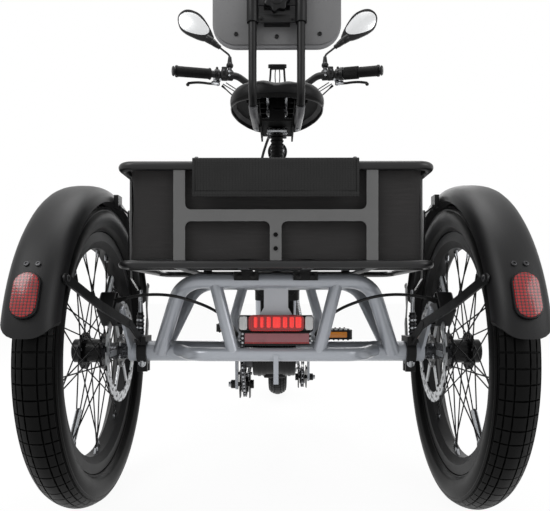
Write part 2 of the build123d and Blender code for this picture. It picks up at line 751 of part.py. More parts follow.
def battery():
    """The battery box behind the seat tube, on a rail."""
    front = -SEAT_TUBE_R - 12
    box = Box(2 * BATTERY_HALF_W, BATTERY_DEPTH, BATTERY_LENGTH)
    box = fillet(box.edges().filter_by(Axis.Z), 12)
    spot = Location((0, front - BATTERY_DEPTH / 2, BATTERY_START + BATTERY_LENGTH / 2))
    return SEAT_PLANE.location * spot * box + battery_rail()


def battery_rail():
    """The strip that bolts the battery to the seat tube."""
    rail = Box(30, 12, BATTERY_LENGTH - 80)
    spot = Location((0, -SEAT_TUBE_R - 6, BATTERY_START + BATTERY_LENGTH / 2))
    strip = SEAT_PLANE.location * spot * rail
    return strip - rod(seat(0, 0, 0), seat(0, 0, SEAT_TUBE_TOP), SEAT_TUBE_R)


# ---------------------------------------------------------------- basket
def panel(half_w, height, bottom):
    """An upright flat panel with three rounded windows, drawn from its sill centre."""
    bar, soft = BAR_W, 9
    middle = BASKET_MID_BAR_Z - bottom
    inner = 2 * half_w - 2 * bar
    plate = Pos(0, height / 2) * Rectangle(2 * half_w, height)
    upper = height - middle - bar / 2
    plate -= Pos(0, middle + bar / 2 + upper / 2 + soft) * RectangleRounded(
        inner, upper + 2 * soft, soft)
    lower_w, lower_h = inner / 2 - bar / 2, middle - bar / 2
    for side in (-1, 1):
        x = side * (bar / 2 + lower_w / 2)
        plate -= Pos(x, lower_h / 2 - soft) * RectangleRounded(lower_w, lower_h + 2 * soft, soft)
    return plate


def basket_rim():
    """The top tube of the basket, bent into a closed rectangle."""
    return ring_bar(BASKET_HALF_W - BASKET_RIM_R, BASKET_REAR + BASKET_RIM_R,
                    BASKET_FRONT - BASKET_RIM_R, BASKET_TOP_Z - BASKET_RIM_R, BASKET_RIM_R,
                    BASKET_CORNER)


def basket_floor():
    """The bottom tube of the basket with its floor bars."""
    made = ring_bar(BASKET_HALF_W - BASKET_SILL_R, BASKET_REAR + BASKET_SILL_R,
                    BASKET_FRONT - BASKET_SILL_R, BASKET_FLOOR_Z + BASKET_SILL_R, BASKET_SILL_R,
                    BASKET_CORNER)
    half = BAR_W / 2
    for x in (-142, -48, 48, 142):
        made += block((x - half, BASKET_REAR + 5, BASKET_FLOOR_Z),
                      (x + half, BASKET_FRONT - 5, BASKET_FLOOR_Z + BAR_T))
    for y in (BASKET_REAR + 60, BASKET_FRONT - 60):
        made += block((-BASKET_HALF_W + 5, y - half, BASKET_FLOOR_Z),
                      (BASKET_HALF_W - 5, y + half, BASKET_FLOOR_Z + BAR_T))
    return made


def basket_panels():
    """The four windowed panels welded between the two tubes."""
    wall = BASKET_SILL_R
    low = BASKET_FLOOR_Z + BASKET_SILL_R
    high = BASKET_TOP_Z - BASKET_RIM_R
    depth_middle = (BASKET_REAR + BASKET_FRONT) / 2
    made = []
    tubes = basket_rim() + basket_floor()
    wide, narrow = panel(PANEL_HALF_W, high - low, low), panel(PANEL_SIDE_HALF_W, high - low, low)
    faces = (
        (wide, BASKET_REAR + wall, (1, 0, 0), (0, -1, 0), 0.0),
        (wide, BASKET_FRONT - wall, (-1, 0, 0), (0, 1, 0), 0.0),
        (narrow, depth_middle, (0, 1, 0), (1, 0, 0), BASKET_HALF_W - wall),
        (narrow, depth_middle, (0, -1, 0), (-1, 0, 0), wall - BASKET_HALF_W),
    )
    for sheet, y, along, out, x in faces:
        plane = Plane(origin=(x, y, low), x_dir=along, z_dir=out)
        plate = plane * Pos(0, 0, -BAR_T / 2) * extrude(sheet, BAR_T)
        if y == BASKET_REAR + wall:
            for z in BASKET_HOLES:
                plate -= rod((0, y - 5, z), (0, y + 5, z), BASKET_HOLE_R)
        made.append(plate - tubes)
    return Compound(children=[s for shape in made for s in solids_of(shape)])


def basket_saddles():
    """Clamp blocks between the hoops and the basket floor."""
    made = []
    for sign in (-1, 1):
        for x in (-48, 48):
            y = sign * HOOP_REACH
            foot = block((x - 20, y - 16, HOOP_TOP_Z), (x + 20, y + 16, BASKET_FLOOR_Z - SMALL_GAP))
            made.append(foot - hoop(sign))
    return Compound(children=[s for shape in made for s in solids_of(shape)])


def basket_liner():
    """The open cloth bag inside the basket: a floor, four walls and four round corners."""
    gap = 2 * BASKET_RIM_R + 0.5
    low_y, high_y = BASKET_REAR + gap, BASKET_FRONT - gap
    base = BASKET_FLOOR_Z + 2 * BASKET_SILL_R + 0.5
    outer = block((-LINER_HALF_W, low_y, base), (LINER_HALF_W, high_y, BASKET_TOP_Z - 3))
    corner = LINER_CORNER
    outer = fillet(outer.edges().filter_by(Axis.Z), corner)
    wall = LINER_WALL
    inner = block((wall - LINER_HALF_W, low_y + wall, base + wall),
                  (LINER_HALF_W - wall, high_y - wall, BASKET_TOP_Z))
    bag = outer - fillet(inner.edges().filter_by(Axis.Z), corner - wall)
    inner_x = LINER_HALF_W - corner
    across = ((-LINER_HALF_W, -inner_x), (-inner_x, inner_x), (inner_x, LINER_HALF_W))
    along = ((low_y, low_y + corner), (low_y + corner, high_y - corner),
             (high_y - corner, high_y))
    made = solids_of(bag & block((-LINER_HALF_W, low_y, base), (LINER_HALF_W, high_y, base + wall)))
    for x_low, x_high in across:
        for y_low, y_high in along:
            if x_low < 0 < x_high and y_low < 0 < y_high:
                continue
            panel_room = block((x_low, y_low, base + wall), (x_high, y_high, BASKET_TOP_Z))
            made += solids_of(bag & panel_room)
    return Compound(children=made)


def basket_flap():
    """A woven tongue folded out over the rear rim."""
    rear, top = BASKET_REAR - SMALL_GAP, BASKET_TOP_Z + SMALL_GAP
    face = block((-FLAP_HALF_W, rear - 3, BASKET_TOP_Z - FLAP_DROP),
                 (FLAP_HALF_W, rear, top + 3))
    fold = block((-FLAP_HALF_W, rear - 3, top), (FLAP_HALF_W, rear + 22, top + 3))
    return face + fold


# ---------------------------------------------------------------- mudguard mounts
def rear_guard():
    return guard_placed(REAR_WHEEL_X, 0, TAIL_ANGLE, NOSE_ANGLE)


def guard_stay():
    """The right mudguard's clamp on the axle tube, with its upright and two bent straps."""
    low, high = STAY_X - STAY_W / 2, STAY_X + STAY_W / 2
    clamp = drum(low, high, 0, AXLE_Z, AXLE_TUBE_R + 5)
    clamp += block((low, -12, AXLE_Z - 36), (high, -4, AXLE_Z - 10))
    clamp += block((low, 4, AXLE_Z - 36), (high, 12, AXLE_Z - 10))
    clamp += block((low, -24, AXLE_Z + 12), (high, 24, AXLE_Z + 27))
    upright = rod((STAY_X + 6, 0, AXLE_Z + 20), (STAY_X + 6, 0, 372), 3.2)
    upright += rod((STAY_X + 6, 0, AXLE_Z + 24), (STAY_X + 6, 0, 336), 5.5)
    edge_x = REAR_WHEEL_X - GUARD_HALF_W
    crown_z = AXLE_Z + GUARD_SKIRT_R
    leaf = [(STAY_X + 6, 0, 366), (STAY_X + 24, 0, 396), (STAY_X + 26, 0, 512),
            (edge_x - 6, 0, crown_z - 4)]
    upright += strap(leaf, 14, 3)
    upright += block((edge_x - 8, -12, crown_z - 8), (edge_x, 12, crown_z + 14))
    made = clamp + upright
    for sign in (-1, 1):
        arm = [(STAY_X, sign * 20, AXLE_Z + 20), (STAY_X + 8, sign * 62, AXLE_Z + 50),
               (STAY_X + 30, sign * 150, AXLE_Z + 82), (edge_x - 1.7, sign * 243, AXLE_Z + 121)]
        made += strap(arm, 15, 3.2)
    return made - axle_core() - rear_guard()


def guard_reflector():
    """The red reflector on the right mudguard's tail."""
    lens = extrude(SlotOverall(2 * REFLECTOR_HALF_L, 42), REFLECTOR_T)
    at = REFLECTOR_ANGLE
    out = Vector(0, -cos(radians(at)), sin(radians(at)))
    base = Vector(REAR_WHEEL_X, 0, AXLE_Z) + out * GUARD_R
    plane = Plane(origin=base, x_dir=(0, sin(radians(at)), cos(radians(at))), z_dir=out)
    return plane * lens


def caliper():
    """The right rear brake caliper, slotted for its disc and bolted to the dropout plate."""
    body = Pos(REAR_ROTOR_X, -67, 343) * Rot(-40, 0, 0) * fillet(Box(30, 44, 42).edges(), 4)
    inner = AXLE_TUBE_END - 3
    ear = flat_plate([(-70, 318), (-66, 330), (-52, 332), (-40, 322), (-52, 312)], inner, 268)
    slot = drum(REAR_ROTOR_X - 3, REAR_ROTOR_X + 3, 0, AXLE_Z, ROTOR_R + 4)
    return body + ear - slot + port(HOSE_ROUTE[::-1], 4.5, 14)


# ---------------------------------------------------------------- hoses and cables


def port(points, radius, length):
    """A short socket on the line of a cord's last run, behind its end."""
    end, before = Vector(*points[-1]), Vector(*points[-2])
    way = (end - before).normalized()
    return rod(end, end + way * length, radius)


def brake_hose():
    return cord_tube("brake hose", HOSE_ROUTE, HOSE_R)


def cable_loom():
    return cord_tube("cable loom", LOOM_ROUTE, LOOM_R)


def bar_cable():
    return cord_tube("bar cable", CABLE_ROUTE, CABLE_R)


# ---------------------------------------------------------------- seat


def seat_post():
    """The post with its ribbed rubber boot, up to the saddle carrier."""
    up = (CARRIER_Z - CRANK_Z) / sin(radians(SEAT_TUBE_ANGLE))
    post = rod(seat(0, 0, 300), seat(0, 0, up + 10), SEAT_POST_R)
    for n in range(9):
        low = up - 92 + 10 * n
        post += rod(seat(0, 0, low), seat(0, 0, low + 5), 17)
        post += rod(seat(0, 0, low + 5), seat(0, 0, low + 10), 15)
    above = block((-60, 300, CARRIER_Z), (60, 600, CARRIER_Z + 60))
    return post - above


def saddle_outline(inset):
    """The saddle's outline from above, drawn in by an inset."""
    half = SADDLE_HALF_W - inset
    right = [
        (half * 0.72, SADDLE_REAR + 28 + inset), (half, SADDLE_REAR + 113),
        (SADDLE_HALF_W * SADDLE_WAIST - inset, SADDLE_NOSE - 100),
        (SADDLE_HALF_W * SADDLE_FRONT - inset, SADDLE_NOSE - 35),
    ]
    left = [(-x, y) for x, y in right]
    points = [(0, SADDLE_REAR + inset), *left, (0, SADDLE_NOSE - inset), *reversed(right)]
    return make_face(Spline(*points, periodic=True))


def saddle():
    """A wide padded saddle over a hollow pan."""
    height = SADDLE_TOP_Z - SADDLE_BASE_Z
    body = Pos(0, 0, SADDLE_BASE_Z) * extrude(saddle_outline(0), height - 16)
    crown = loft([
        Pos(0, 0, SADDLE_TOP_Z - 16) * saddle_outline(0),
        Pos(0, 0, SADDLE_TOP_Z) * saddle_outline(16),
    ])
    hollow = Pos(0, 0, SADDLE_BASE_Z) * extrude(saddle_outline(13), SADDLE_HOLLOW)
    return body + crown - hollow


def saddle_bracket():
    """The carrier under the saddle: a flanged plate, a slotted riser and two rails."""
    top = CARRIER_Z + CARRIER_T
    plate = block((-38, 385, CARRIER_Z), (38, 520, top))
    for side in (-1, 1):
        low, high = sorted((side * 38, side * (POST_FOOT_X - BACKREST_POST_R)))
        plate += block((low, 385, CARRIER_Z - 14), (high, 520, top + 8))
    roof = SADDLE_BASE_Z + SADDLE_HOLLOW
    riser = block((-18, 392, top), (18, 396, roof - 4))
    riser -= Plane.XZ * Pos(0, 832, -400) * extrude(SlotOverall(20, 6), 12)
    front = block((-28, 508, top), (28, 512, roof - 4))
    made = plate + riser + front
    for side in (-1, 1):
        made += rod((side * 16, 388, roof - 4), (side * 16, 540, roof - 4), 3.5)
    return made


def backrest_posts():
    """Two bent posts with their sliding sleeves and cross plates."""
    made = None
    for side in (-1, 1):
        x = side * BACKREST_POST_X
        points = [(side * POST_FOOT_X, POST_FOOT_Y, CARRIER_Z - 3), (x, BACKREST_Y, CARRIER_Z - 3),
                  (x, BACKREST_Y, 1116)]
        post = pipe(points, BACKREST_POST_R, 60)
        made = post if made is None else made + post
    return made


parts = {}


def add_wheels():
    place = Pos(0, 0, AXLE_Z)
    wheel, disc = rear_wheel(), rotor(REAR_ROTOR_X)
    sides = (("right", 1, wheel, disc), ("left", -1, mirrored(wheel), mirrored(disc)))
    for name, side, turning, plate in sides:
        parts[f"rear_tyre_{name}"] = Pos(side * REAR_WHEEL_X, 0, AXLE_Z) * tyre()
        parts[f"rear_wheel_{name}"] = place * turning
        parts[f"rear_rotor_{name}"] = place * plate
    place = Pos(0, WHEELBASE, AXLE_Z)
    parts["front_tyre"] = place * tyre()
    parts["front_wheel"] = place * front_wheel()
    parts["front_rotor"] = place * rotor(FRONT_ROTOR_X)


def backrest_carrier():
    """The sleeves, cross plates and back panel that slide on the two posts."""
    made = block((-BACKREST_HALF_W, BACKREST_Y + 22, BACKREST_BASE_Z + 8),
                 (BACKREST_HALF_W, BACKREST_Y + 26, BACKREST_BASE_Z + BACKREST_HEIGHT))
    made = fillet(made.edges().filter_by(Axis.Y), 57)
    for side in (-1, 1):
        x = side * BACKREST_POST_X
        made += rod((x, BACKREST_Y, 992), (x, BACKREST_Y, 1120), BACK_SLEEVE_R)
    for z in CROSS_PLATES:
        made += block((-BACKREST_POST_X, BACKREST_Y - 2, z - 9), (BACKREST_POST_X, BACKREST_Y + 2, z + 9))
        made += block((-30, BACKREST_Y, z - 9), (30, BACKREST_Y + 22, z + 9))
    for side in (-1, 1):
        x = side * BACKREST_POST_X
        made -= rod((x, BACKREST_Y, 900), (x, BACKREST_Y, 1200), BACKREST_POST_R + SHAFT_CLEARANCE)
    knob = rod((0, BACKREST_Y - 20, KNOB_Z), (0, BACKREST_Y - 2, KNOB_Z), KNOB_R)
    return made + knob


def backrest_pad():
    """The cushion in front of the back panel."""
    pad = block((-BACKREST_HALF_W - 2, BACKREST_Y + 26 + SMALL_GAP, BACKREST_BASE_Z),
                (BACKREST_HALF_W + 2, BACKREST_Y + 66, BACKREST_BASE_Z + BACKREST_HEIGHT + 4))
    pad = fillet(pad.edges().filter_by(Axis.Y), 60)
    return fillet(pad.edges().group_by(Axis.Y)[-1], 16)


# ---------------------------------------------------------------- steering


def fork():
    """A sprung fork: steerer, crown, two legs and the front axle."""
    steerer = rod(steer(0, 0, CROWN_BASE + 4), steer(0, 0, STEM_BASE), STEERER_R)
    crown = STEER_PLANE.location * Pos(0, 12, (CROWN_BASE + CROWN_TOP) / 2)
    body = Box(2 * FORK_X + 38, 46, CROWN_TOP - CROWN_BASE)
    body = crown * fillet(body.edges().filter_by(Axis.Z), 18)
    made = steerer + body
    for side in (-FORK_X, FORK_X):
        made += rod(steer(side, 24, 190), steer(side, 24, CROWN_TOP + 4), FORK_STANCHION_R)
        made += rod(steer(side, 24, -8), steer(side, 24, 205), FORK_LOWER_R)
        made += rod(steer(side, 24, 205), steer(side, 24, 214), FORK_LOWER_R + 2)
        tip = [(-16, -18), (52, -18), (56, 18), (-16, 26)]
        points = []
        for fore, up in tip:
            spot = steer(0, 24 + fore * 0.6, up)
            points.append((spot.Y, spot.Z))
        made += flat_plate(points, side - 4, side + 4)
    made += drum(-FORK_X - 12, FORK_X + 12, WHEELBASE, AXLE_Z, FRONT_AXLE_R)
    return made


def front_guard():
    """The front mudguard with the lug that bolts up under the crown."""
    arch = guard_placed(0, WHEELBASE, 8, 140)
    lug = rod(steer(0, 30, GUARD_R - 1), steer(0, 30, CROWN_BASE), 7)
    return arch + (lug - drum(-60, 60, WHEELBASE, AXLE_Z, GUARD_R - 2))


def stem():
    """The tall stem that clamps the steerer and the handlebar."""
    column = rod(steer(0, 0, HEAD_TUBE_TOP + 10), steer(0, 0, STEM_TOP), 17)
    column -= rod(steer(0, 0, 0), steer(0, 0, STEM_BASE), STEERER_R)
    nose = rod(steer(0, 0, STEM_TOP - 4), steer(0, 34, STEM_TOP + 14), 15)
    clamp = rod(steer(-24, 40, STEM_TOP + 16), steer(24, 40, STEM_TOP + 16), 19)
    junction = STEER_PLANE.location * Pos(0, 22, 748) * Box(26, 22, 34)
    made = column + nose + clamp + junction + port(LOOM_ROUTE[::-1], 6.5, 12)
    made += port(CABLE_ROUTE, 4, 8) + mirrored(port(CABLE_ROUTE, 4, 8))
    made -= rod(steer(0, 0, 0), steer(0, 0, STEM_BASE), STEERER_R)
    return made - rod(steer(-60, 40, STEM_TOP + 16), steer(60, 40, STEM_TOP + 16), BAR_R)


def bar_route():
    centre = steer(0, 40, STEM_TOP + 16)
    half = [
        (40, centre.Y, centre.Z), (BAR_KNEE[0], centre.Y + BAR_KNEE[1], BAR_KNEE[2]),
        (BAR_HALF_W - 2, GRIP_Y, GRIP_Z),
    ]
    left = [(-x, y, z) for x, y, z in reversed(half)]
    return left + half


def bar_core():
    """The middle run of the bar, which is straight."""
    centre = steer(0, 40, STEM_TOP + 16)
    return rod(centre - Vector(60, 0, 0), centre + Vector(60, 0, 0), BAR_R)


def handlebar():
    """A raised bar swept back to the rider."""
    return pipe(bar_route(), BAR_R, BAR_BEND)


def along_bar(x):
    """A point on the straight end of the right half of the bar, with its direction."""
    a, b = Vector(*bar_route()[-2]), Vector(*bar_route()[-1])
    way = (b - a).normalized()
    return a + way * ((x - a.X) / way.X), way


def grips():
    """A rubber grip on each end of the bar."""
    end, way = along_bar(BAR_HALF_W)
    start, _ = along_bar(BAR_HALF_W - GRIP_LENGTH)
    grip = rod(start, end, GRIP_R) - rod(start - way, end - way * 2, BAR_R)
    return both(grip)


def brake_levers():
    """A lever with its clamp and switch pod on each side."""
    spot, way = along_bar(200)
    pod = rod(spot - way * 10, spot + way * 9, 19)
    lever = rod(spot + Vector(0, 8, -12), spot + Vector(30, 34, -26), 6)
    lever += rod(spot + Vector(30, 34, -26), spot + Vector(125, 22, -30), 5)
    socket = port(CABLE_ROUTE[::-1], 4, 26)
    return both(pod + lever + socket - rod(spot - way * 60, spot + way * 40, BAR_R))


def mirrors():
    """A rounded mirror on a thin stalk, clamped to the bar on each side."""
    foot, way = along_bar(MIRROR_FOOT_X)
    clamp = rod(foot - way * 9, foot + way * 9, 17) - rod(foot - way * 30, foot + way * 30, BAR_R)
    elbow = Vector(foot.X, foot.Y + 2, MIRROR_ELBOW_Z)
    shoulder = Vector(191, foot.Y + 2, 1190)
    neck = Vector(240, foot.Y + 2, 1245)
    stalk = rod(foot + Vector(0, 0, 14), elbow, 5.5) + rod(elbow, shoulder, 3.5)
    stalk += Sphere(5.5).moved(Location(elbow)) + rod(shoulder, neck, 8)
    head = extrude(Ellipse(MIRROR_HALF_L, MIRROR_HALF_W), MIRROR_T)
    head = Plane(origin=(280, foot.Y + 8, 1273), x_dir=(0.816, 0, 0.578), z_dir=(0, -1, 0)) * head
    return both(clamp + stalk + head)


def display():
    """A small screen on a bracket over the stem."""
    spot = steer(0, 40, STEM_TOP + 16)
    screen = Box(60, 60, 14)
    screen = Pos(0, spot.Y + 4, DISPLAY_Z) * Rot(20, 0, 0) * fillet(screen.edges().filter_by(Axis.Z), 6)
    made = screen
    for side in (-1, 1):
        foot = Vector(side * DISPLAY_CLIP_X, spot.Y, spot.Z)
        half = Vector(DISPLAY_CLIP_HALF, 0, 0)
        made += rod(foot - half, foot + half, BAR_R + 4)
        made += rod(foot + Vector(0, 0, 13), Vector(side * 22, spot.Y + 3, DISPLAY_Z), 2.4)
    return made - bar_core()


def headlight():
    """A round lamp in front of the stem."""
    spot = steer(0, 44, 640)
    lamp = rod(spot, spot + Vector(0, 52, 0), 32)
    arm = rod(steer(0, 14, 640), spot + Vector(0, 10, 0), 8)
    return fillet(lamp.edges(), 4) + arm - rod(steer(0, 0, 500), steer(0, 0, 800), 17)


def front_caliper():
    """The front brake caliper with its plate on the left leg."""
    spot = steer(FRONT_ROTOR_X, -14, 66)
    body = Pos(*spot) * Rot(20, 0, 0) * fillet(Box(22, 36, 40).edges(), 4)
    plate = STEER_PLANE.location * Pos(-52, 0, 66) * Box(10, 30, 32)
    slot = drum(FRONT_ROTOR_X - 3, FRONT_ROTOR_X + 3, WHEELBASE, AXLE_Z, ROTOR_R + 4)
    leg = rod(steer(-FORK_X, 24, -8), steer(-FORK_X, 24, 205), FORK_LOWER_R)
    return body + plate - slot - leg


# ---------------------------------------------------------------- everything by name
def add_rear_frame():
    parts["axle_tube"] = axle_tube()
    parts["rear_hoop"] = hoop(-1)
    parts["front_hoop"] = hoop(1)
    parts["bumper"] = bumper()
    parts["hoop_struts"] = struts()
    parts["main_frame"] = main_frame()
    parts["light_bracket"] = light_bracket()
    parts["tail_light"] = tail_light()


def add_drive():
    parts["motor"] = motor()
    parts["rear_cog"] = rear_cog()
    parts["chains"] = Compound(children=[*solids_of(chain_left()), *solids_of(chain_right())])
    parts["jackshaft"] = jackshaft()
    parts["tensioner"] = tensioners()
    parts["crankset"] = crankset()
    parts["pedal_left"] = pedal(-1)
    parts["pedal_right"] = pedal(1)
    parts["battery"] = battery()


def add_body():
    parts["basket_rim"] = basket_rim()
    parts["basket_floor"] = basket_floor()
    parts["basket_panels"] = basket_panels()
    parts["basket_saddles"] = basket_saddles()
    parts["basket_liner"] = basket_liner()
    parts["basket_flap"] = basket_flap()
    guard_shape, stay, light = rear_guard(), guard_stay(), guard_reflector()
    grip = caliper()
    for name, flip in (("right", False), ("left", True)):
        parts[f"mudguard_{name}"] = mirrored(guard_shape) if flip else guard_shape
    parts["mudguard_stays"] = both(stay)
    lamps = [*solids_of(both(light)), *solids_of(tail_reflector())]
    parts["reflectors"] = Compound(children=lamps)
    parts["rear_calipers"] = both(grip)
    hose, cable = brake_hose(), bar_cable()
    parts["brake_hose_right"], parts["brake_hose_left"] = hose, mirrored(hose)
    parts["bar_cable_right"], parts["bar_cable_left"] = cable, mirrored(cable)
    parts["cable_loom"] = cable_loom()


def add_seat():
    parts["seat_post"] = seat_post()
    parts["saddle"] = saddle()
    parts["saddle_bracket"] = saddle_bracket()
    parts["backrest_posts"] = backrest_posts()
    parts["backrest_carrier"] = backrest_carrier()
    parts["backrest_pad"] = backrest_pad()


def add_steering():
    parts["fork"] = fork()
    parts["front_mudguard"] = front_guard()
    parts["stem"] = stem()
    parts["handlebar"] = handlebar()
    parts["grips"] = grips()
    parts["brake_levers"] = brake_levers()
    parts["mirrors"] = mirrors()
    parts["display"] = display()
    parts["headlight"] = headlight()
    parts["front_caliper"] = front_caliper()


def write_parts():
    """Write each part to its own file, with the origin under the middle of the machine."""
    os.makedirs("parts", exist_ok=True)
    for name, shape in parts.items():
        export_step(Pos(0, -ORIGIN_Y, 0) * shape, f"parts/{name}.step")


for add in (add_wheels, add_rear_frame, add_drive, add_body, add_seat, add_steering):
    add()
write_parts()
print("origin", round(ORIGIN_Y, 3), "parts", len(parts))
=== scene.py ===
"""Looks of an electric cargo tricycle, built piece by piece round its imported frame."""
from functools import partial
from math import atan2, cos, hypot, pi, radians, sin, tau

import bmesh
import bpy
from bpy.props import FloatProperty, FloatVectorProperty, IntProperty, PointerProperty
from mathutils import Matrix, Vector, noise


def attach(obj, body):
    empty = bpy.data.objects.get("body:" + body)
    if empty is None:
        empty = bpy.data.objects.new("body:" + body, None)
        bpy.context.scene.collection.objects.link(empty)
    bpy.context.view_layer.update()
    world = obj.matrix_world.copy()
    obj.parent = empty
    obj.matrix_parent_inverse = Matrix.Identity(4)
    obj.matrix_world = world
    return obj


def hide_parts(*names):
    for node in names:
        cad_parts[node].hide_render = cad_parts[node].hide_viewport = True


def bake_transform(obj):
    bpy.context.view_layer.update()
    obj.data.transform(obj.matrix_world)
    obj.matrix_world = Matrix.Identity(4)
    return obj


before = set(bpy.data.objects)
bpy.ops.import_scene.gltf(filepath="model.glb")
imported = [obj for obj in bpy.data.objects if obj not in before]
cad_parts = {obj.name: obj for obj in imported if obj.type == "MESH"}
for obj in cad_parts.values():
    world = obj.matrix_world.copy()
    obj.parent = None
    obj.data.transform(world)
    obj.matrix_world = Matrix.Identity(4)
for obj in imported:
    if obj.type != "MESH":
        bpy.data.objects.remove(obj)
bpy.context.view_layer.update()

bl_info = {
    "name": "Electric Cargo Tricycle",
    "version": (1, 0, 0),
    "blender": (4, 5, 0),
    "location": "3D View > Sidebar > Tricycle",
    "description": "Builds the looks of an electric cargo tricycle round its frame",
    "category": "Add Mesh",
}

# Places are written in millimetres: X right, Y forward from the rear axle, Z up from the ground.
MM = 0.001
REAR_AXLE_BACK = 562.401
WHEELBASE = 1150.0
AXLE_Z = 267.0
REAR_WHEEL_X = 328.0
HEAD_ANGLE = radians(70)
SEAT_ANGLE = radians(73)
RAKE = 45.0
CRANK = (0.0, 620.0, 270.0)


def at(x, y, z):
    """A place in millimetres from the rear axle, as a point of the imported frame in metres."""
    return Vector((x, y - REAR_AXLE_BACK, z)) * MM


def steer(side, fore, up):
    """A point counted from the foot of the steering axis, along the fork's own directions."""
    fore -= RAKE
    return at(side, WHEELBASE + fore * sin(HEAD_ANGLE) - up * cos(HEAD_ANGLE),
              AXLE_Z + fore * cos(HEAD_ANGLE) + up * sin(HEAD_ANGLE))


def seat(side, fore, up):
    """A point counted from the crank centre, along the seat tube's own directions."""
    return at(side, CRANK[1] + fore * sin(SEAT_ANGLE) - up * cos(SEAT_ANGLE),
              CRANK[2] + fore * cos(SEAT_ANGLE) + up * sin(SEAT_ANGLE))


def linear(code):
    """A colour written as screen hex, as the linear colour that shaders take."""
    parts = [int(code[i:i + 2], 16) / 255 for i in (1, 3, 5)]
    return tuple(c / 12.92 if c <= 0.04045 else ((c + 0.055) / 1.055) ** 2.4 for c in parts)


# ---------------------------------------------------------------- sizes and colours to change
def paint(name, description, code):
    return FloatVectorProperty(name=name, description=description, subtype="COLOR", size=3,
                               min=0, max=1, default=linear(code))


class TricycleColours(bpy.types.PropertyGroup):
    """The colours a user may want to change."""
    frame_silver: paint("Frame silver", "Lacquer of the hoops, rails and frame tubes", "#9da1a8")
    basket_grey: paint("Basket grey", "Lacquer of the basket's panels", "#505050")
    matt_black: paint("Matt black", "Moulded mudguards and covers", "#0c0c0d")
    rubber: paint("Rubber", "Tyres and grips", "#080808")
    cloth: paint("Cloth", "Bag inside the basket", "#292828")
    vinyl: paint("Vinyl", "Saddle and backrest covers", "#0f0f10")
    lens_red: paint("Lens red", "Tail lamp and reflectors", "#c21a1c")
    floor: paint("Floor", "The pale floor under the tricycle", "#ffffff")


class TricycleSizes(bpy.types.PropertyGroup):
    """The sizes a user may want to change."""
    tread_depth: FloatProperty(name="Tread depth", description="Height of the tyre's blocks",
                               default=3.2 * MM, min=0, max=6 * MM, unit="LENGTH")
    tread_rows: IntProperty(name="Tread rows", description="Rows of blocks round one tyre",
                            default=76, min=24, max=120)
    pad_swell: FloatProperty(name="Pad swell", description="How far a padded cover may swell",
                             default=9 * MM, min=0, max=30 * MM, unit="LENGTH")
    chain_pitch: FloatProperty(name="Chain pitch", description="From one chain pin to the next",
                               default=12.7 * MM, min=8 * MM, max=20 * MM, unit="LENGTH")


# ---------------------------------------------------------------- shader nodes
class Nodes:
    """Adds and joins the nodes of one tree."""

    def __init__(self, tree):
        self.tree = tree
        tree.nodes.clear()

    def feed(self, socket, value):
        if isinstance(value, bpy.types.NodeSocket):
            self.tree.links.new(value, socket)
        elif value is not None:
            socket.default_value = value

    def add(self, kind, settings=None, **inputs):
        """A node with its settings and its inputs, which are named with _ for a space."""
        made = self.tree.nodes.new("ShaderNode" + kind)
        for key, value in (settings or {}).items():
            setattr(made, key, value)
        for key, value in inputs.items():
            self.feed(made.inputs[key.replace("_", " ")], value)
        return made

    def math(self, operation, *values, clamp=False):
        made = self.add("Math", {"operation": operation, "use_clamp": clamp})
        for socket, value in zip(made.inputs, values):
            self.feed(socket, value)
        return made.outputs[0]

    def mix(self, factor, first, second):
        made = self.add("Mix", {"data_type": "RGBA"})
        for index, value in ((0, factor), (6, first), (7, second)):
            self.feed(made.inputs[index], value)
        return made.outputs[2]

    def ramp(self, value, low, high):
        """A smooth step from 0 at the low value to 1 at the high one."""
        return self.add("MapRange", {"interpolation_type": "SMOOTHSTEP"}, Value=value,
                        From_Min=low, From_Max=high).outputs[0]

    def place(self):
        """Where a point lies on the piece, in metres."""
        return self.add("TexCoord").outputs["Object"]

    def split(self, vector):
        return self.add("SeparateXYZ", Vector=vector).outputs

    def use(self, group, **inputs):
        return self.add("Group", {"node_tree": group}, **inputs).outputs

    def tone(self, first, second, scale, amount):
        """A mottled colour; the second one is a colour, or how much brighter than the first."""
        other = tint(second) if isinstance(second, str) else tint(first, second)
        return self.use(mottle(), Base=tint(first), Second=other, Scale=scale, Amount=amount)

    def dress(self, shader, bump, **inputs):
        """Feeds a shader its inputs, and its normal from a bump of (strength, distance, height)."""
        if bump:
            made = self.add("Bump", Strength=bump[0], Distance=bump[1], Height=bump[2])
            self.feed(shader.inputs["Normal"], made.outputs[0])
        for key, value in inputs.items():
            self.feed(shader.inputs[key.replace("_", " ")], value)


def seen(n):
    """1 for what the camera sees, straight or by a reflection or through plastic, and else 0."""
    rays = n.add("LightPath").outputs
    return n.math("MAXIMUM", rays["Is Camera Ray"], n.math(
        "MAXIMUM", rays["Is Glossy Ray"], rays["Is Transmission Ray"]))


def effect(name, inputs, outputs, build):
    """A shared group of nodes, made once."""
    tree = bpy.data.node_groups.get(name)
    if tree is None:
        tree = bpy.data.node_groups.new(name, "ShaderNodeTree")
        for label, kind, value in inputs:
            socket = tree.interface.new_socket(label, in_out="INPUT",
                                               socket_type="NodeSocket" + kind)
            socket.default_value = value
        for label, kind in outputs:
            tree.interface.new_socket(label, in_out="OUTPUT", socket_type="NodeSocket" + kind)
        nodes = Nodes(tree)
        start = tree.nodes.new("NodeGroupInput").outputs
        end = tree.nodes.new("NodeGroupOutput").inputs
        for label, value in build(nodes, start).items():
            nodes.feed(end[label], value)
    return tree


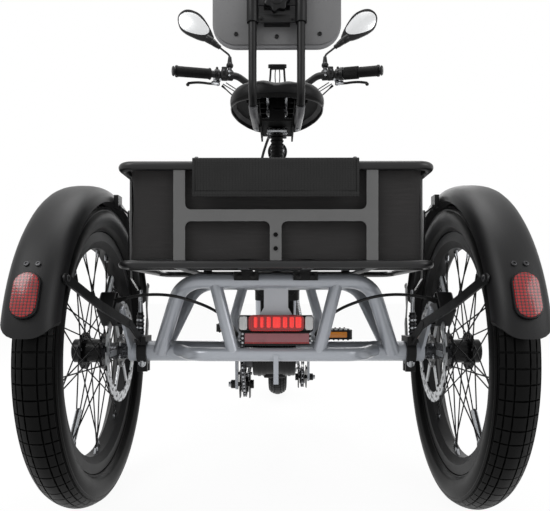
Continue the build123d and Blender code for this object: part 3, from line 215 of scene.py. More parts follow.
def mottle():
    """Soft uneven tone with fine specks, as on lacquer, rubber and moulded plastic."""
    def build(n, start):
        place = n.place()
        broad = n.add("TexNoise", Vector=place, Scale=start["Scale"], Detail=4.0, Roughness=0.6)
        fine_scale = n.math("MULTIPLY", start["Scale"], 14.0)
        fine = n.add("TexNoise", Vector=place, Scale=fine_scale, Detail=2.0)
        soft = n.ramp(broad.outputs[0], 0.35, 0.72)
        specks = n.ramp(fine.outputs[0], 0.6, 0.78)
        both = n.math("MAXIMUM", n.math("MULTIPLY", soft, 0.7), n.math("MULTIPLY", specks, 0.6))
        mask = n.math("MULTIPLY", both, start["Amount"], clamp=True)
        return {"Colour": n.mix(mask, start["Base"], start["Second"]), "Mask": mask}
    return effect("Mottled tone", [
        ("Base", "Color", (0.1, 0.1, 0.1, 1)), ("Second", "Color", (0.2, 0.2, 0.2, 1)),
        ("Scale", "Float", 12.0), ("Amount", "Float", 0.5),
    ], [("Colour", "Color"), ("Mask", "Float")], build)


def grain():
    """The fine pebbled skin of moulded plastic, vinyl and rubber."""
    def build(n, start):
        place = n.place()
        cells = n.add("TexVoronoi", {"feature": "SMOOTH_F1"}, Vector=place, Scale=start["Scale"])
        haze_scale = n.math("MULTIPLY", start["Scale"], 1.9)
        haze = n.add("TexNoise", Vector=place, Scale=haze_scale, Detail=3.0)
        return {"Height": n.math("ADD", cells.outputs["Distance"],
                                 n.math("MULTIPLY", haze.outputs[0], 0.6))}
    return effect("Pebbled grain", [("Scale", "Float", 900.0)], [("Height", "Float")], build)


def weave():
    """A plain weave on an upright cloth, with slubs that run with the threads."""
    def build(n, start):
        x, y, z = n.split(n.place())
        across = n.math("MULTIPLY", n.math("ADD", x, y), start["Threads"])
        up = n.math("MULTIPLY", z, start["Threads"])
        warp = n.math("SINE", n.math("MULTIPLY", across, tau))
        weft = n.math("SINE", n.math("MULTIPLY", up, tau))
        over = n.math("MULTIPLY", warp, weft)
        slub_place = n.add("CombineXYZ", X=n.math("MULTIPLY", across, 0.04),
                           Y=n.math("MULTIPLY", up, 0.5), Z=0.0)
        slubs = n.add("TexNoise", Vector=slub_place.outputs[0], Scale=1.0, Detail=3.0)
        worn = n.add("TexNoise", Vector=n.place(), Scale=9.0, Detail=3.0)
        mask = n.math("MULTIPLY", n.ramp(slubs.outputs[0], 0.4, 0.7),
                      n.ramp(worn.outputs[0], 0.25, 0.75))
        return {"Height": n.math("ADD", n.math("MULTIPLY", over, 0.5), slubs.outputs[0]),
                "Mask": mask}
    return effect("Plain weave", [("Threads", "Float", 900.0)],
                  [("Height", "Float"), ("Mask", "Float")], build)


def worn_edge():
    """Where a corner is sharp and its finish has been rubbed, broken up by noise."""
    def build(n, start):
        soft = n.add("Bevel", {"samples": 4}, Radius=start["Width"])
        flat = n.add("NewGeometry").outputs["Normal"]
        same = n.add("VectorMath", {"operation": "DOT_PRODUCT"})
        n.feed(same.inputs[0], soft.outputs[0])
        n.feed(same.inputs[1], flat)
        edge = n.ramp(n.math("SUBTRACT", 1.0, same.outputs["Value"]), 0.01, 0.16)
        breaks = n.add("TexNoise", Vector=n.place(), Scale=70.0, Detail=5.0)
        mask = n.math("MULTIPLY", edge, n.ramp(breaks.outputs[0], 0.4, 0.62))
        return {"Mask": n.math("MULTIPLY", mask, start["Amount"], clamp=True)}
    return effect("Rubbed edges", [("Width", "Float", 0.0012), ("Amount", "Float", 0.6)],
                  [("Mask", "Float")], build)


def from_axle():
    """How far a point lies from a wheel's axle, for bands that go round with the wheel."""
    def build(n, start):
        away = n.add("VectorMath", {"operation": "SUBTRACT"})
        n.feed(away.inputs[0], n.place())
        n.feed(away.inputs[1], start["Axle"])
        _, y, z = n.split(away.outputs[0])
        squared = n.math("ADD", n.math("MULTIPLY", y, y), n.math("MULTIPLY", z, z))
        return {"Radius": n.math("SQRT", squared), "Turn": n.math("ARCTAN2", z, y)}
    return effect("Round an axle", [("Axle", "Vector", (0.0, 0.0, 0.0))],
                  [("Radius", "Float"), ("Turn", "Float")], build)


def sizes():
    return bpy.context.scene.tricycle_sizes


def tint(colour, factor=1.0):
    """A colour with its alpha, from screen hex or from the name of a colour to change."""
    colours = bpy.context.scene.tricycle_colours
    base = linear(colour) if colour[0] == "#" else getattr(colours, colour)
    return (*(min(1.0, c * factor) for c in base), 1.0)


def material_maker(build):
    """Turns what fills a new material's nodes into what returns that material, made only once."""
    def make(name, *values, **more):
        if not bpy.data.materials.get(name):
            made = bpy.data.materials.new(name)
            made.use_nodes = True
            nodes = Nodes(made.node_tree)
            shader = nodes.add("BsdfPrincipled")
            nodes.add("OutputMaterial", Surface=shader.outputs[0])
            build(nodes, shader, *values, **more)
        return bpy.data.materials[name]
    return make


@material_maker
def finish(n, shader, colour, second=1.0, roughness=0.5, metallic=0.0, specular=0.5, coat=0.0,
           coat_roughness=0.2, scale=12.0, amount=0.5, spread=0.12, skin=900.0, bump=0.08,
           wear=None, wear_amount=0.6):
    """A lacquered, moulded or bare surface with uneven tone, a fine skin and rubbed edges."""
    tone = n.tone(colour, second, scale, amount)
    base, rough = tone["Colour"], n.math("MULTIPLY_ADD", tone["Mask"], spread, roughness)
    if wear:
        rubbed = n.use(worn_edge(), Width=0.0012, Amount=wear_amount)["Mask"]
        base = n.mix(rubbed, base, tint(wear))
    n.dress(shader, (bump, 0.0006, n.use(grain(), Scale=skin)["Height"]), Base_Color=base,
            Roughness=rough, Metallic=metallic, Specular_IOR_Level=specular, Coat_Weight=coat,
            Coat_Roughness=coat_roughness)


silver_lacquer = partial(finish, "Silver lacquer", "frame_silver", 0.86, 0.3, 0.25, coat=0.6,
    scale=7, amount=0.5, skin=2600, bump=0.05, wear="#b9bcc2", wear_amount=0.35)
pale_lacquer = partial(finish, "Pale lacquer", "#b2b4b9", "#a2a4a9", 0.4, 0.2, scale=9, amount=0.5,
    skin=2600, bump=0.05, wear="#c4c6ca", wear_amount=0.3)
basket_lacquer = partial(finish, "Grey powder coat", "basket_grey", 0.82, 0.55, 0.1, scale=18,
    skin=1700, bump=0.16, wear="#8c8c8c", wear_amount=0.45)
black_lacquer = partial(finish, "Black powder coat", "#0e0e0f", "#191919", 0.34, specular=0.2,
    skin=1900, bump=0.12, wear="#5e5e60", wear_amount=0.5)
moulded_black = partial(finish, "Moulded black", "matt_black", 1.35, 0.42, specular=0.22, scale=9,
    amount=0.55, skin=1500, bump=0.1)
gloss_black = partial(finish, "Gloss black", "#121213", "#1b1b1c", 0.34, specular=0.35, scale=14,
    skin=2400, bump=0.05, wear="#5a5a5c", wear_amount=0.4)
# Shadow black: near-black with hardly any shine, painted shade for hollows, holes and undersides.
shadow_black = partial(finish, "Shadow black", "#070707", "#0e0e0e", 0.6, specular=0.08, scale=14,
    skin=1500, bump=0.1)
smooth_black = partial(finish, "Smooth black", "#0a0a0b", "#141416", 0.28, specular=0.22, scale=16,
    skin=3000, bump=0.03)
black_rubber = partial(finish, "Black rubber", "rubber", 1.5, 0.5, specular=0.12, scale=22,
    amount=0.6, skin=1100, bump=0.2)
steel_screw = partial(finish, "Blackened screws", "#2a2a2b", "#515153", 0.35, 0.8, scale=60,
    amount=0.7, skin=2500, bump=0.06, wear="#8d8d90")
bright_steel = partial(finish, "Bright steel", "#a9abae", "#77797c", 0.26, 0.95, scale=40,
    amount=0.55, skin=2600, bump=0.05)
dark_steel = partial(finish, "Oiled steel", "#3a3a3c", "#59595c", 0.36, 0.85, scale=46, amount=0.7,
    skin=2000, bump=0.12, wear="#a0a0a3", wear_amount=0.8)
collar_grey = partial(finish, "Collar grey", "#4c4c4e", "#5c5c5e", 0.4, 0.5, scale=30, skin=1900,
    bump=0.1, wear="#9a9a9c", wear_amount=0.5)
band_grey = partial(finish, "Band grey", "#707072", "#626264", 0.55, 0.05, scale=14, skin=1900,
    bump=0.1)
panel_grey = partial(finish, "Panel grey", "#5c5c5d", "#4a4a4b", 0.52, 0.1, scale=10, skin=1900,
    bump=0.12, wear="#8f8f90", wear_amount=0.4)
# Pale grey, partly metallic and rough: real mirroring plus a painted reflection of pale
# surroundings.
mirror_glass_painted_reflection = partial(finish, "Mirror glass", "#d3d4d5", "#cbcccd", 0.24, 0.6, scale=5, amount=0.5,
    spread=0.02, skin=400, bump=0.004)
blank_screen = partial(finish, "Blank screen", "#0a0b0d", "#101215", 0.08, specular=0.5, coat=0.4,
    coat_roughness=0.03, scale=8, spread=0.04, skin=600, bump=0.01)
cord_rubber = partial(finish, "Cord rubber", "#0e0e0f", "#1c1c1d", 0.45, specular=0.3, scale=40,
    amount=0.5, skin=2600, bump=0.06)


# ---------------------------------------------------------------- finishes of the frame's parts
CAD_FINISHES = {
    silver_lacquer: ["axle_tube", "rear_hoop", "front_hoop", "bumper", "hoop_struts", "main_frame",
                     "fork"],
    pale_lacquer: ["light_bracket"],
    # The saddle's bracket is shadow black: painted shade under the saddle.
    shadow_black: ["saddle_bracket"],
    basket_lacquer: ["basket_panels"],
    gloss_black: ["basket_rim", "basket_floor"],
    black_lacquer: ["basket_saddles", "mudguard_stays", "tensioner",
                    "backrest_posts", "backrest_carrier", "stem", "handlebar"],
    moulded_black: ["mudguard_left", "mudguard_right", "front_mudguard", "battery"],
    smooth_black: ["motor", "rear_calipers", "front_caliper", "display", "headlight", "mirrors"],
    black_rubber: ["front_tyre", "rear_tyre_left", "rear_tyre_right", "grips", "seat_post"],
    dark_steel: ["rear_cog", "chains", "jackshaft", "crankset"],
    bright_steel: ["front_rotor", "rear_rotor_left", "rear_rotor_right"],
}


class TRICYCLE_OT_frame_finishes(bpy.types.Operator):
    """Gives each part of the frame its finish"""
    bl_idname = "tricycle.frame_finishes"
    bl_label = "Frame finishes"

    def execute(self, context):
        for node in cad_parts.values():
            node.data.materials.clear()
            node.data.materials.append(moulded_black())
        for make, names in CAD_FINISHES.items():
            for name in names:
                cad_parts[name].data.materials[0] = make()
        return {"FINISHED"}


# ---------------------------------------------------------------- shapes
def put(name, data):
    """A new object of some data, linked into the scene."""
    made = bpy.data.objects.new(name, data)
    bpy.context.scene.collection.objects.link(made)
    return made


def lay(origin, out, along=None):
    """A placing whose Z points out and whose X points along."""
    z = Vector(out).normalized()
    if along is None:
        along = (0, 0, 1) if abs(z.z) < 0.9 else (1, 0, 0)
    x = Vector(along)
    x = (x - z * x.dot(z)).normalized()
    return Matrix.Translation(origin) @ Matrix((x, z.cross(x), z)).transposed().to_4x4()


def round_off(bm, edges, width, segments=2):
    bmesh.ops.bevel(bm, geom=edges, offset=width * MM, offset_type="OFFSET", segments=segments,
                    profile=0.5, affect="EDGES", clamp_overlap=True, material=-1)


def close_up(bm):
    """Joins doubled points and turns every face outwards."""
    bmesh.ops.remove_doubles(bm, verts=bm.verts[:], dist=1e-6)
    bmesh.ops.recalc_face_normals(bm, faces=bm.faces[:])
    return bm


def rim_edges(bm):
    """The edges between a flat top or bottom and the sides."""
    return [e for e in bm.edges if len(e.link_faces) == 2
            and (abs(e.link_faces[0].normal.z) > 0.9) != (abs(e.link_faces[1].normal.z) > 0.9)]


def rod(start, end, radius, end_radius=None, sides=20, bevel=0.0):
    """A round bar or cone between two points, its ends rounded off by a bevel."""
    bm = bmesh.new()
    run = end - start
    far = radius if end_radius is None else end_radius
    bmesh.ops.create_cone(bm, cap_ends=True, segments=sides, radius1=radius * MM,
                          radius2=far * MM, depth=run.length, matrix=lay((start + end) / 2, run))
    if bevel:
        rims = [e for e in bm.edges if any(len(f.verts) > 4 for f in e.link_faces)]
        round_off(bm, rims, bevel)
    return bm


def slab(width, height, thickness, place, corner=0.0, bevel=0.0, segments=6):
    """A flat slab with rounded corners, its middle on the placing."""
    bm = bmesh.new()
    size = Matrix.Diagonal((width * MM, height * MM, thickness * MM, 1))
    bmesh.ops.create_cube(bm, size=1, matrix=size)
    if corner:
        uprights = [e for e in bm.edges
                    if abs((e.verts[0].co - e.verts[1].co).normalized().z) > 0.9]
        round_off(bm, uprights, corner, segments)
    if bevel:
        round_off(bm, rim_edges(bm), bevel)
    bmesh.ops.transform(bm, matrix=place, verts=bm.verts[:])
    return bm


def box(low, high, bevel=0.0, corner=0.0, up=(0, 0, 1)):
    """A box between two corners in millimetres, its corners rounded round the direction up."""
    a, b = Vector(low), Vector(high)
    size, middle = b - a, (a + b) / 2
    place = lay(at(*middle), up, (1, 0, 0) if abs(up[0]) < 0.9 else (0, 1, 0))
    turned = [abs(size @ place.col[i].to_3d()) for i in range(3)]
    return slab(*turned, place, corner, bevel)


def spun(profile, origin, axis, steps=48):
    """A profile of (radius, along) in millimetres turned fully round an axis."""
    bm = bmesh.new()
    place = lay(origin, axis)
    verts = [bm.verts.new(place @ (Vector((r, 0, a)) * MM)) for r, a in profile]
    edges = [bm.edges.new(pair) for pair in zip(verts, verts[1:])]
    bmesh.ops.spin(bm, geom=verts + edges, cent=origin, axis=Vector(axis), angle=tau,
                   steps=steps, use_merge=True)
    return close_up(bm)


def plate(outline, place, thickness, bevel=0.0):
    """A flat plate of an outline in millimetres, drawn on the placing and as thick as given."""
    bm = bmesh.new()
    face = bm.faces.new([bm.verts.new(Vector((x, y, 0)) * MM) for x, y in outline])
    grown = bmesh.ops.extrude_face_region(bm, geom=[face])["geom"]
    bmesh.ops.translate(bm, vec=(0, 0, thickness * MM),
                        verts=[g for g in grown if isinstance(g, bmesh.types.BMVert)])
    close_up(bm)
    if bevel:
        rims = [e for e in bm.edges if e.calc_face_angle(0) > 1.0 and any(
            abs(f.normal.z) > 0.9 for f in e.link_faces)]
        round_off(bm, rims, bevel)
    bmesh.ops.transform(bm, matrix=place, verts=bm.verts[:])
    return close_up(bm)


def route_curve(name, points, radius=0.0, rounding=0, smooth=True):
    """A curve through points, smooth or straight, as thick as a radius in millimetres."""
    curve = bpy.data.curves.new(name, "CURVE")
    curve.dimensions = "3D"
    curve.bevel_depth = radius * MM
    curve.bevel_resolution = rounding
    curve.use_fill_caps = True
    spline = curve.splines.new("NURBS" if smooth else "POLY")
    spline.points.add(len(points) - 1)
    for point, place in zip(spline.points, points):
        point.co = (*place, 1)
    if smooth:
        spline.order_u = 3
        spline.use_endpoint_u = True
        spline.resolution_u = 8
    return curve


def drawn(curve):
    """The shape that a curve makes; the curve itself is cleared away."""
    holder = bpy.data.objects.new("route", curve)
    mesh = bpy.data.meshes.new_from_object(holder)
    bm = bmesh.new()
    bm.from_mesh(mesh)
    bpy.data.objects.remove(holder)
    bpy.data.curves.remove(curve)
    bpy.data.meshes.remove(mesh)
    return bm


def swept(points, radius, sides=12, smooth=True):
    """A round bar that follows points, straight from one to the next or along a smooth curve."""
    return close_up(drawn(route_curve("route", points, radius, max(0, sides // 4 - 1), smooth)))


def socket_screw(origin, out, radius, height, sides=20):
    """A round-headed screw with a sunk socket, its seat on the origin."""
    out = Vector(out).normalized()
    bm = rod(origin, origin + out * height * MM, radius, sides=sides, bevel=radius * 0.18)
    top = max(bm.faces, key=lambda f: f.calc_center_median().dot(out))
    bmesh.ops.inset_region(bm, faces=[top], thickness=radius * 0.3 * MM)
    bmesh.ops.inset_region(bm, faces=[top], thickness=radius * 0.06 * MM,
                           depth=-height * 0.5 * MM)
    return bm


def hex_bolt(origin, out, across, height, washer=True):
    """A hexagon head or nut on its washer, its seat on the origin."""
    out = Vector(out).normalized()
    bm = rod(origin, origin + out * height * MM, across / 1.73, sides=6, bevel=across * 0.05)
    if washer:
        ring = rod(origin - out * 0.3 * MM, origin + out * 1.2 * MM, across * 0.78, sides=24,
                   bevel=0.3)
        merge(bm, ring)
    return bm


def merge(bm, other):
    mesh = bpy.data.meshes.new("part")
    other.to_mesh(mesh)
    other.free()
    bm.from_mesh(mesh)
    bpy.data.meshes.remove(mesh)
    return bm


class Piece:
    """One named piece in the making: shapes go in one by one, each with its finish."""

    def __init__(self, name, body):
        self.name, self.body = name, body
        self.bm = bmesh.new()
        self.finishes = []

    def take(self, shape, material):
        """Adds a shape with its finish."""
        if material not in self.finishes:
            self.finishes.append(material)
        for face in shape.faces:
            face.material_index = self.finishes.index(material)
            face.smooth = True
        merge(self.bm, shape)
        return self

    def pair(self, shape, material):
        """Adds a shape with its finish, and its mirror image on the other side."""
        other = shape.copy()
        bmesh.ops.scale(other, vec=(-1, 1, 1), verts=other.verts[:])
        bmesh.ops.recalc_face_normals(other, faces=other.faces[:])
        return self.take(shape, material).take(other, material)

    def done(self, *nodes, slot=None, sharp=34):
        """Makes the object, which rides on its body and stands for the nodes it is given."""
        mesh = bpy.data.meshes.new(self.name)
        self.bm.to_mesh(mesh)
        self.bm.free()
        mesh.set_sharp_from_angle(angle=radians(sharp))
        for material in self.finishes:
            mesh.materials.append(material)
        made = put(self.name, mesh)
        if self.body:
            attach(made, self.body)
        if nodes:
            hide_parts(*nodes)
        return made


# ---------------------------------------------------------------- wheels
WHEELS = (  # body, middle across, forward place, node ending
    ("rear_wheel_left", -REAR_WHEEL_X, 0.0, "left"),
    ("rear_wheel_right", REAR_WHEEL_X, 0.0, "right"),
    ("front_wheel", 0.0, WHEELBASE, "front"),
)


@material_maker
def tyre_finish(n, shader):
    """Rubber with a tone that varies at random, and a fine grain."""
    tone = n.use(mottle(), Base=tint("rubber", 0.8), Second=tint("rubber", 1.6), Scale=26.0,
                 Amount=0.5)
    n.dress(shader, (0.12, 0.0006, n.use(grain(), Scale=800.0)["Height"]),
            Base_Color=tone["Colour"], Specular_IOR_Level=0.07,
            Roughness=n.math("MULTIPLY_ADD", tone["Mask"], 0.14, 0.38))


TREAD_EDGES = (-28.0, -20.6, -10.2, 10.2, 20.6, 28.0)


def tyre(centre):
    """A balloon tyre: one sector with its blocks raised, then repeated round the axle."""
    bm = bmesh.new()
    depth, rows = sizes().tread_depth, sizes().tread_rows
    wall = [(14.4, 203.2), (15.3, 213.0), (19.5, 213.8), (20.3, 215.6), (26.0, 219.0),
            (28.6, 221.8), (29.2, 223.6), (32.0, 229.5), (33.1, 234.0), (33.5, 238.0),
            (33.2, 242.5), (32.2, 246.4), (31.2, 248.6), (31.4, 250.4), (29.8, 253.6)]
    breaks = [28.0, 24.6, 20.6, 15.4, 10.2, 5.0, 0.0]
    tread = [(x, 267 - 8 * (x / 24) ** 2 - depth / MM) for x in breaks]
    half = wall + tread
    profile = half + [(-x, r) for x, r in reversed(half[:-1])] + [half[0]]
    verts = [bm.verts.new(centre + Vector((x, 0, r)) * MM) for x, r in profile]
    edges = [bm.edges.new(pair) for pair in zip(verts, verts[1:])]
    step = tau / rows
    bmesh.ops.spin(bm, geom=verts + edges, cent=centre, axis=(1, 0, 0), angle=step, steps=2)
    bmesh.ops.remove_doubles(bm, verts=bm.verts[:], dist=1e-6)
    for low, high in zip(TREAD_EDGES, TREAD_EDGES[1:]):
        block = [f for f in bm.faces
                 if low * MM < (f.calc_center_median() - centre).x < high * MM
                 and (f.calc_center_median() - centre).length > 0.25]
        bmesh.ops.inset_region(bm, faces=block, thickness=0.75 * MM, use_boundary=True)
        for thickness, rise in ((0.2, 0.76), (0.5, 0.24)):
            bmesh.ops.inset_region(bm, faces=block, thickness=thickness * MM,
                                   use_boundary=True)
            for vert in {v for f in block for v in f.verts}:
                away = vert.co - centre
                away.x = 0
                vert.co += away.normalized() * depth * rise
    bmesh.ops.spin(bm, geom=bm.verts[:] + bm.edges[:] + bm.faces[:], cent=centre, axis=(1, 0, 0),
                   angle=tau - step, steps=rows - 1, use_duplicate=True)
    return close_up(bm)


class TRICYCLE_OT_tyres(bpy.types.Operator):
    """Moulds the three block-treaded tyres"""
    bl_idname = "tricycle.tyres"
    bl_label = "Tyres"

    def execute(self, context):
        for body, x, y, end in WHEELS:
            node = "front_tyre" if end == "front" else f"rear_tyre_{end}"
            piece = Piece(f"{node}_treaded", body)
            piece.take(tyre(at(x, y, AXLE_Z)), tyre_finish("Tyre rubber"))
            piece.done(node, slot="tyre_rubber", sharp=30)
        return {"FINISHED"}


HUB_SHELL_R, AXLE_END_R = 0.0345, 0.0148
DISC_BAND_R, DISC_HOLE_SHADE_R = 0.031, 0.062


@material_maker
def wheel_finish(n, shader, x, y):
    """Black rim and spokes, and a gloss black hub shell, told apart by their radius."""
    ring = n.use(from_axle(), Axle=tuple(at(x, y, AXLE_Z)))
    tone = n.tone("#0a0a0b", "#161617", 30.0, 0.5)
    hub = n.math("LESS_THAN", ring["Radius"], HUB_SHELL_R)
    bright = n.math("LESS_THAN", ring["Radius"], AXLE_END_R)
    rough = n.math("MULTIPLY_ADD", hub, -0.22, 0.42)
    n.dress(shader, (0.05, 0.0005, n.use(grain(), Scale=2300.0)["Height"]),
            Base_Color=n.mix(bright, tone["Colour"], tint("#5b5c5f")),
            Roughness=n.math("MULTIPLY_ADD", tone["Mask"], 0.1, rough),
            Metallic=n.math("MULTIPLY", bright, 0.85), Specular_IOR_Level=0.14)


@material_maker
def rotor_finish(n, shader, x, y):
    """A ground steel braking band on a black spider, its holes painted on as dark spots of shade,
    not cut.
    """
    ring = n.use(from_axle(), Axle=tuple(at(x, y, AXLE_Z)))
    radius = ring["Radius"]
    band = n.math("GREATER_THAN", radius, DISC_BAND_R)
    tone = n.tone("#c6c8ca", "#97999c", 34.0, 0.7)
    slant = n.math("MULTIPLY_ADD", radius, 180.0, n.math("MULTIPLY", ring["Turn"], 18.0))
    along = n.math("SINE", n.math("MULTIPLY", radius, 440.0))
    # Painted shade: dark spots stand in for the holes through the band.
    hole = n.math("GREATER_THAN", n.math("MULTIPLY", n.math("SINE", slant), along), 0.52)
    painted_hole_shade = n.math("MULTIPLY", hole, n.math("GREATER_THAN", radius, DISC_HOLE_SHADE_R))
    base = n.mix(band, tint("#19191a"), tone["Colour"])
    n.dress(shader, (0.12, 0.0003, n.math("SINE", n.math("MULTIPLY", radius, 9000.0))),
            Base_Color=n.mix(painted_hole_shade, base, tint("#141415")),
            Metallic=n.math("MULTIPLY_ADD", band, 0.75, 0.1),
            Roughness=n.math("MULTIPLY_ADD", tone["Mask"], 0.15, 0.3))


def spoke_ends(flange_xs, flange_r, rim_x, count=36):
    """Where each crossed spoke leaves its flange and meets the rim, about the axle."""
    twist = tau / count
    for side, flange_x in enumerate(flange_xs):
        for n in range(count // 2):
            hole = (2 * n + side) * twist
            lean = 1 if n % 2 else -1
            reach = hole + lean * 5.2 * twist
            pull = 3.0 if flange_x > rim_x else -3.0
            yield (Vector((flange_x + 1.9 * lean, flange_r * cos(hole), flange_r * sin(hole))),
                   Vector((rim_x + pull, 185 * cos(reach), 185 * sin(reach))))


class TRICYCLE_OT_wheel_fittings(bpy.types.Operator):
    """Finishes the wheels and adds their nipples, spoke lamps, valves, nuts and disc screws"""
    bl_idname = "tricycle.wheel_fittings"
    bl_label = "Wheel fittings"

    def execute(self, context):
        for body, x, y, end in WHEELS:
            wheel = "front_wheel" if end == "front" else f"rear_wheel_{end}"
            disc = "front_rotor" if end == "front" else f"rear_rotor_{end}"
            for node, material in ((wheel, wheel_finish(f"Wheel black {end}", x, y)),
                                   (disc, rotor_finish(f"Disc {end}", x, y))):
                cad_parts[node].data.materials[0] = material
            self.fit(body, x, y, end)
        return {"FINISHED"}

    def fit(self, body, x, y, end):
        front = end == "front"
        side = -1 if end == "left" else 1
        middle = at(x, y, AXLE_Z)
        flanges = (-24, 24) if front else (-20.5, 15.5)
        flange_r = 26.5 if front else 28.5
        piece = Piece(f"wheel_fittings_{end}", body)
        turn = Matrix.Translation(middle) @ Matrix.Diagonal((side, 1, 1, 1))
        for hub_end, rim_end in spoke_ends(flanges, flange_r, 0):
            rim_point, hub_point = turn @ (rim_end * MM), turn @ (hub_end * MM)
            way = (hub_point - rim_point).normalized()
            piece.take(rod(rim_point - way * MM, rim_point + way * 11 * MM, 2.1, 1.7, 8),
                       bright_steel())
            piece.take(rod(hub_point - way * 2 * MM, hub_point + way * 2.2 * MM, 2.1, sides=8),
                       dark_steel())
        for angle in (0.9, 0.9 + pi):
            self.spoke_lamp(piece, middle, angle)
        self.valve(piece, middle)
        out = Vector((side, 0, 0))
        if front:
            for way in (-1, 1):
                cap = at(way * 29, y, AXLE_Z)
                piece.take(spun([(5.3, 0), (13, 0), (12, 5), (5.3, 6), (5.3, 0)], cap, (way, 0, 0)),
                           smooth_black())
            disc_x = -38.4
        else:
            cap = middle + out * 33 * MM
            piece.take(spun([(0, 3.4), (9, 3.2), (11, 1.5), (19.5, 1.2), (21, 0), (0, 0)], cap,
                            out),
                       smooth_black())
            disc_x = side * 277.2
        inward = Vector((-1 if front else -side, 0, 0))
        for n in range(6):
            turn_by = tau * n / 6 + 0.4
            spot = at(disc_x, y + 22 * cos(turn_by), AXLE_Z + 22 * sin(turn_by))
            piece.take(socket_screw(spot, inward, 4.2, 2.4, 12), bright_steel())
        piece.done(slot="wheel_alloy")

    def spoke_lamp(self, piece, middle, angle):
        """A clear reflector clipped between the spokes."""
        out = Vector((0, cos(angle), sin(angle)))
        place = lay(middle + out * 146 * MM, (1, 0, 0), out)
        piece.take(slab(58, 15, 8.4, place, 7.2, 1.6), clear_reflector())
        piece.take(slab(61, 18, 4.0, place, 8.8, 0.8), smooth_black())

    def valve(self, piece, middle):
        """A valve stem with its dust cap, through the rim."""
        out = Vector((0, cos(2.2), sin(2.2)))
        foot = middle + out * 186 * MM
        piece.take(rod(foot, foot - out * 26 * MM, 2.7, sides=12), bright_steel())
        piece.take(rod(foot - out * 22 * MM, foot - out * 36 * MM, 4.1, 3.2, 12, 0.8),
                   black_rubber())


# ---------------------------------------------------------------- lamps and reflectors
@material_maker
def prism_finish(n, shader, colour, second, glow=0.0, pitch=2.6):
    """A moulded reflector: clear coloured plastic over a grid of small prisms."""
    x, y, z = n.split(n.place())
    count = pi / (pitch * MM)
    tilted = n.math("ADD", z, n.math("MULTIPLY", y, 0.35))
    bars = n.math("SINE", n.math("MULTIPLY", x, count))
    rows = n.math("SINE", n.math("MULTIPLY", tilted, count))
    grid = n.math("MULTIPLY", n.math("ABSOLUTE", bars), n.math("ABSOLUTE", rows))
    tone = n.add("TexNoise", Vector=n.place(), Scale=40.0, Detail=3.0)
    mask = n.math("MULTIPLY", n.ramp(grid, 0.1, 0.5), n.ramp(tone.outputs[0], 0.1, 0.5))
    base = n.mix(mask, tint(second), tint(colour))
    lit = {"Emission_Color": base, "Emission_Strength": glow} if glow else {}
    n.dress(shader, (0.2, 0.0004, grid), Base_Color=base, Coat_Weight=0.2, Coat_Roughness=0.12,
            Roughness=n.math("MULTIPLY_ADD", mask, -0.1, 0.3), **lit)


red_reflector = partial(prism_finish, "Red reflector", "#8c1115", "#240405", pitch=4.6)
dull_reflector = partial(prism_finish, "Dull red reflector", "#8d5257", "#6a3a40", pitch=1.9)
amber_reflector = partial(prism_finish, "Amber reflector", "#e08a1c", "#7c4407")
clear_reflector = partial(prism_finish, "Clear reflector", "#d4d7da", "#8f9499")
lamp_red = partial(prism_finish, "Lamp red", "#a00d12", "#5e0609", 0.06, 3.4)
lamp_lit = partial(prism_finish, "Lamp lit", "#f4352f", "#d81f1f", 0.3, 5.2)


@material_maker
def clear_plastic(n, shader):
    """The clear ends of the tail lamp and the headlight's lens."""
    tone = n.tone("#fafafa", "#e6e8e8", 60.0, 0.7)
    n.dress(shader, None, Base_Color=tone["Colour"], Transmission_Weight=0.55, Coat_Weight=0.5,
            Roughness=n.math("MULTIPLY_ADD", tone["Mask"], 0.1, 0.12))


class TRICYCLE_OT_tail_lamp(bpy.types.Operator):
    """Builds the lit bar lamp and the dull reflector bar under it"""
    bl_idname = "tricycle.tail_lamp"
    bl_label = "Tail lamp"

    def execute(self, context):
        piece = Piece("tail_lamp", "frame")
        piece.take(box((-61.5, -90, 305.6), (61.5, -82.2, 333.2), 1.2, 5, (0, -1, 0)),
                   smooth_black())
        piece.take(box((-45.5, -102, 307.5), (46, -89, 334.0), 3.0, 8, (0, -1, 0)), lamp_red())
        segments = ((-35.8, -30), (-25.7, -19.9), (-15.2, -8.4), (-5.5, 7.4), (10.7, 18.2),
                    (21.8, 29), (31.2, 41.3))
        for low, high in segments:
            piece.take(box((low, -103.4, 313.5), (high, -99, 331.0), 1.1, 2.2, (0, -1, 0)),
                       lamp_lit())
        for low, high in ((-59.5, -46.5), (47, 60)):
            piece.take(box((low, -99.5, 309.5), (high, -89, 332.0), 1.6, 3.5, (0, -1, 0)),
                       clear_plastic("Clear plastic"))
        piece.take(box((-60.5, -98, 333.0), (60.5, -88, 333.6), 0.2), smooth_black())
        piece.done("tail_light", slot="red_lens")

        bar = Piece("bar_reflector", "frame")
        bar.take(box((-57, -94, 284), (57, -86.4, 306), 1.0, 2, (0, -1, 0)), black_lacquer())
        bar.take(box((-51, -96, 289), (54, -91, 304), 0.8, 1.5, (0, -1, 0)), dull_reflector())
        # This red strip takes the lamp's lens finish, whose faint glow is painted light, as the
        # reflector bar holds no lamp.
        bar.take(box((-51, -96.6, 287.4), (54, -92, 289.4), 0.5), lamp_red())
        bar.take(box((-12, -88, 288), (12, -82, 300), 0.6), black_lacquer())
        for x in (-54.4, 55.8):
            for z in (288.5, 296.0, 303.0):
                bar.take(socket_screw(at(x, -93.9, z), (0, -1, 0), 1.9, 1.4, 12), bright_steel())
        bar.done("reflectors", slot="red_lens")
        return {"FINISHED"}


GUARD_HALF = [(0, 291), (7, 290.8), (14, 290.2), (21, 288.8), (27, 286.4), (32, 282.6),
              (36, 277.4), (38.4, 271.4), (39.5, 264.2)]


def guard_point(angle, grow=0.0):
    """A point on the crown of the right mudguard and the way out from it; 0 points aft."""
    turn = radians(angle)
    out = Vector((0, -cos(turn), sin(turn)))
    return at(REAR_WHEEL_X, 0, AXLE_Z) + out * (291 + grow) * MM, out


